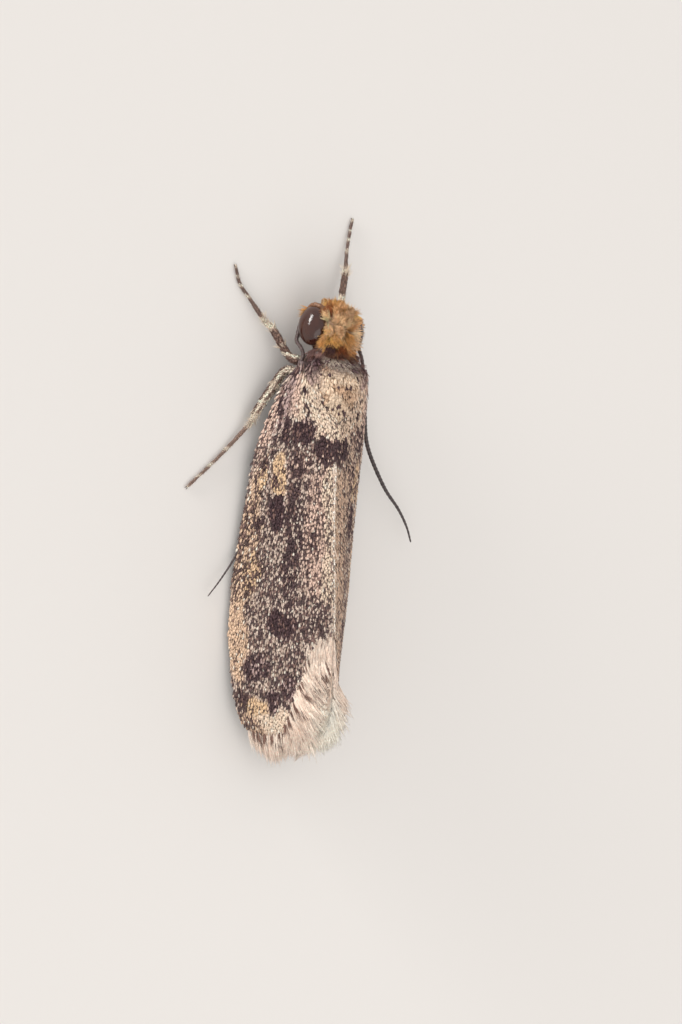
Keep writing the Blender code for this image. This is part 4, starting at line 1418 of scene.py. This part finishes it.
def leg_place(name, back):
    """The middle, radius, direction and share of the length of a leg at a distance back, beyond its knee."""
    line = LEG_LINES[name]
    start = len(line) // 3
    i = start + np.abs(line[start:, 1] - back).argmin()
    ahead = unit(line[min(i + 2, len(line) - 1), :3] - line[i - 2, :3])
    length = distance_along(line)
    return line[i, :3], line[i, 3], ahead, length[i] / length[-1]


def bristle_roots(seed):
    """Roots round the upper side of the ends of the shins."""
    rng = np.random.default_rng(seed)
    legs, rows = list(LEG_LINES), []
    for name, places in BRISTLES.items():
        for back, reach in places:
            for _ in range(int(BRISTLES_PER_MM * reach)):
                centre, radius, ahead, share = leg_place(name, back + reach * rng.uniform(-1, 1))
                turn = rng.uniform(-0.35, math.pi + 0.35)
                out = spokes(ahead, turn)[0]
                lie = unit(ahead + 0.15 * rng.normal(size=3))
                place = (legs.index(name), turn % (2 * math.pi), share)
                rows.append((*(centre + 0.8 * radius * out), *out, *lie, *place))
    rows = np.array(rows)
    count = len(rows)
    return {
        "point": rows[:, :3], "away": rows[:, 3:6], "lie": lying(rows[:, 6:9], rows[:, 3:6]),
        "size": rng.uniform(0.12, 0.22, (count, 1)), "tint": LEG_PALE * rng.uniform(0.8, 1.0, (count, 1)),
        "map": leg_map(*rows[:, 9:].T), "lift": rng.uniform(0.25, 0.75, count),
    }


grow("leg_bristles", bristle_roots(130), cilia, hair, 131, 0.15, 0.2)


def spine(root, ahead, out, length, radius, hook):
    """A tapered spine that starts ahead and bends outwards by its hook."""
    path = [
        (*(root + length * (t * ahead + hook * t * t * out)), radius * taper)
        for t, taper in ((0, 1), (0.35, 0.9), (0.7, 0.6), (1, 0.12))
    ]
    return limb(smooth_path(path, 3), 8)


def spurs_and_claws():
    """Every spur and claw in one mesh, spurs pale and claws brown."""
    parts, colours = [], []

    def add(part, colour):
        parts.append(part)
        colours.append(np.tile(colour, (len(part[0]), 1)))

    for name, places in SPURS.items():
        for back in places:
            centre, radius, ahead, _ = leg_place(name, back)
            side = spokes(ahead, 0)[0]
            for turn, length in ((1, SPUR_LENGTH), (-1, 0.7 * SPUR_LENGTH)):
                root = centre + 0.5 * radius * turn * side
                root[2] = max(root[2], 0.06)
                level = unit(ahead * (1, 1, 0) + 0.35 * turn * side)
                add(spine(root, level, side * turn, length, 0.022, 0.1), LEG_PALE * 0.8)
    for line in LEG_LINES.values():
        ahead = unit((line[-1, :3] - line[-6, :3]) * (1, 1, 0))
        side = spokes(ahead, 0)[0]
        for turn in (1, -1):
            root = line[-1, :3] + 0.4 * line[-1, 3] * turn * side - 0.03 * ahead
            down = np.array((0, 0, -0.4))
            add(spine(root, unit(ahead + 0.25 * turn * side), down, CLAW_LENGTH, 0.013, 1.0), LEG_DARK * 0.7)
    made = mesh_object("spurs_and_claws", *joined(parts))
    recalculate_faces(made.data)
    paint(made, np.vstack(colours))
    made.data.materials.append(skin.data.materials[0])
    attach(made, "root")


spurs_and_claws()

# --- Shapes that were only repeated -----------------------------------------------------------
# The single scales and tufts that the coat was laid from leave the scene, because the coat is now
# solid mesh of its own.

for group in (paddles, cilia, crown):
    for shape in list(group.objects):
        bpy.data.objects.remove(shape)
    bpy.data.collections.remove(group)

# --- Floor, light and camera ------------------------------------------------------------------
# A plain pale board, one broad soft lamp from the head's left and an even sky.


def floor_material():
    """Matt white emulsion paint on a board, with the faintest roller texture."""
    made, tree, shader, place = new_material("matt_emulsion_paint")
    roller = add_node(tree, "ShaderNodeTexNoise", {"Vector": place, "Scale": 1 / (0.6 * MM), "Detail": 3.0})
    bump = add_node(tree, "ShaderNodeBump", {"Height": roller["Fac"], "Distance": 0.01 * MM, "Strength": 0.3})
    feed(shader, {"Base Color": (*linear("#EAE6E2"), 1), "Roughness": 0.8, "Normal": bump[0]})
    return made


FLOOR_REACH = 0.4  # metres from the middle to each edge
floor_data = bpy.data.meshes.new("floor")
corners = [(FLOOR_REACH * x, FLOOR_REACH * y, 0) for x, y in ((-1, -1), (1, -1), (1, 1), (-1, 1))]
floor_data.from_pydata(corners, [], [(0, 1, 2, 3)])
floor = bpy.data.objects.new("floor", floor_data)
bpy.context.scene.collection.objects.link(floor)
floor_data.materials.append(floor_material())

ROLL, LEAN = math.radians(32), math.radians(6.2)  # the camera's turn to the left, and in its frame
toward = Vector((math.sin(ROLL), 0, math.cos(ROLL)))
sideways = Vector((-math.cos(ROLL), 0, math.sin(ROLL)))
right = math.cos(LEAN) * sideways - math.sin(LEAN) * Vector((0, 1, 0))
upward = -math.sin(LEAN) * sideways - math.cos(LEAN) * Vector((0, 1, 0))
VIEW_HEIGHT = 21.88 * MM  # length of the view's long side at the moth
target = Vector((-0.6746, 0.4986, 0.8)) * MM
lens = bpy.data.cameras.new("camera")
lens.lens, lens.sensor_width = 120, 36
lens.clip_start, lens.clip_end = 0.001, 2
camera = bpy.data.objects.new("camera", lens)


def put_up(made, place, axes):
    """Stands the camera or a lamp at a place, turned to three axes."""
    made.matrix_world = Matrix.Translation(place) @ Matrix(axes).transposed().to_4x4()
    bpy.context.scene.collection.objects.link(made)


put_up(camera, target + toward * (lens.lens * VIEW_HEIGHT / lens.sensor_width), (right, upward, toward))
bpy.context.scene.camera = camera


def lamp(name, direction, length_along, distance, size, power, colour):
    """An oblong soft lamp that faces the moth."""
    data = bpy.data.lights.new(name, "AREA")
    data.shape = "RECTANGLE"
    (data.size, data.size_y), data.energy, data.color = size, power, colour
    facing = direction.normalized()
    across = length_along.cross(facing).normalized()
    axes = (across, facing.cross(across), facing)
    put_up(bpy.data.objects.new(name, data), target + facing * distance, axes)


lamp(
    "window", 0.60 * toward - 0.84 * right + 0.66 * upward, upward + 0.5 * right, 0.16, (0.055, 0.12), 0.295,
    (1.0, 0.98, 0.95),
)
lamp("fill", 0.6 * toward + 0.35 * right - 0.75 * upward, right, 0.20, (0.20, 0.20), 0.12, (1.0, 0.97, 0.94))
world = bpy.data.worlds.new("studio")
bpy.context.scene.world = world
world.use_nodes = True
sky = world.node_tree.nodes["Background"]
sky.inputs["Color"].default_value = (1.0, 0.988, 0.975, 1)
sky.inputs["Strength"].default_value = 0.80
bpy.context.scene.view_settings.view_transform = "Standard"
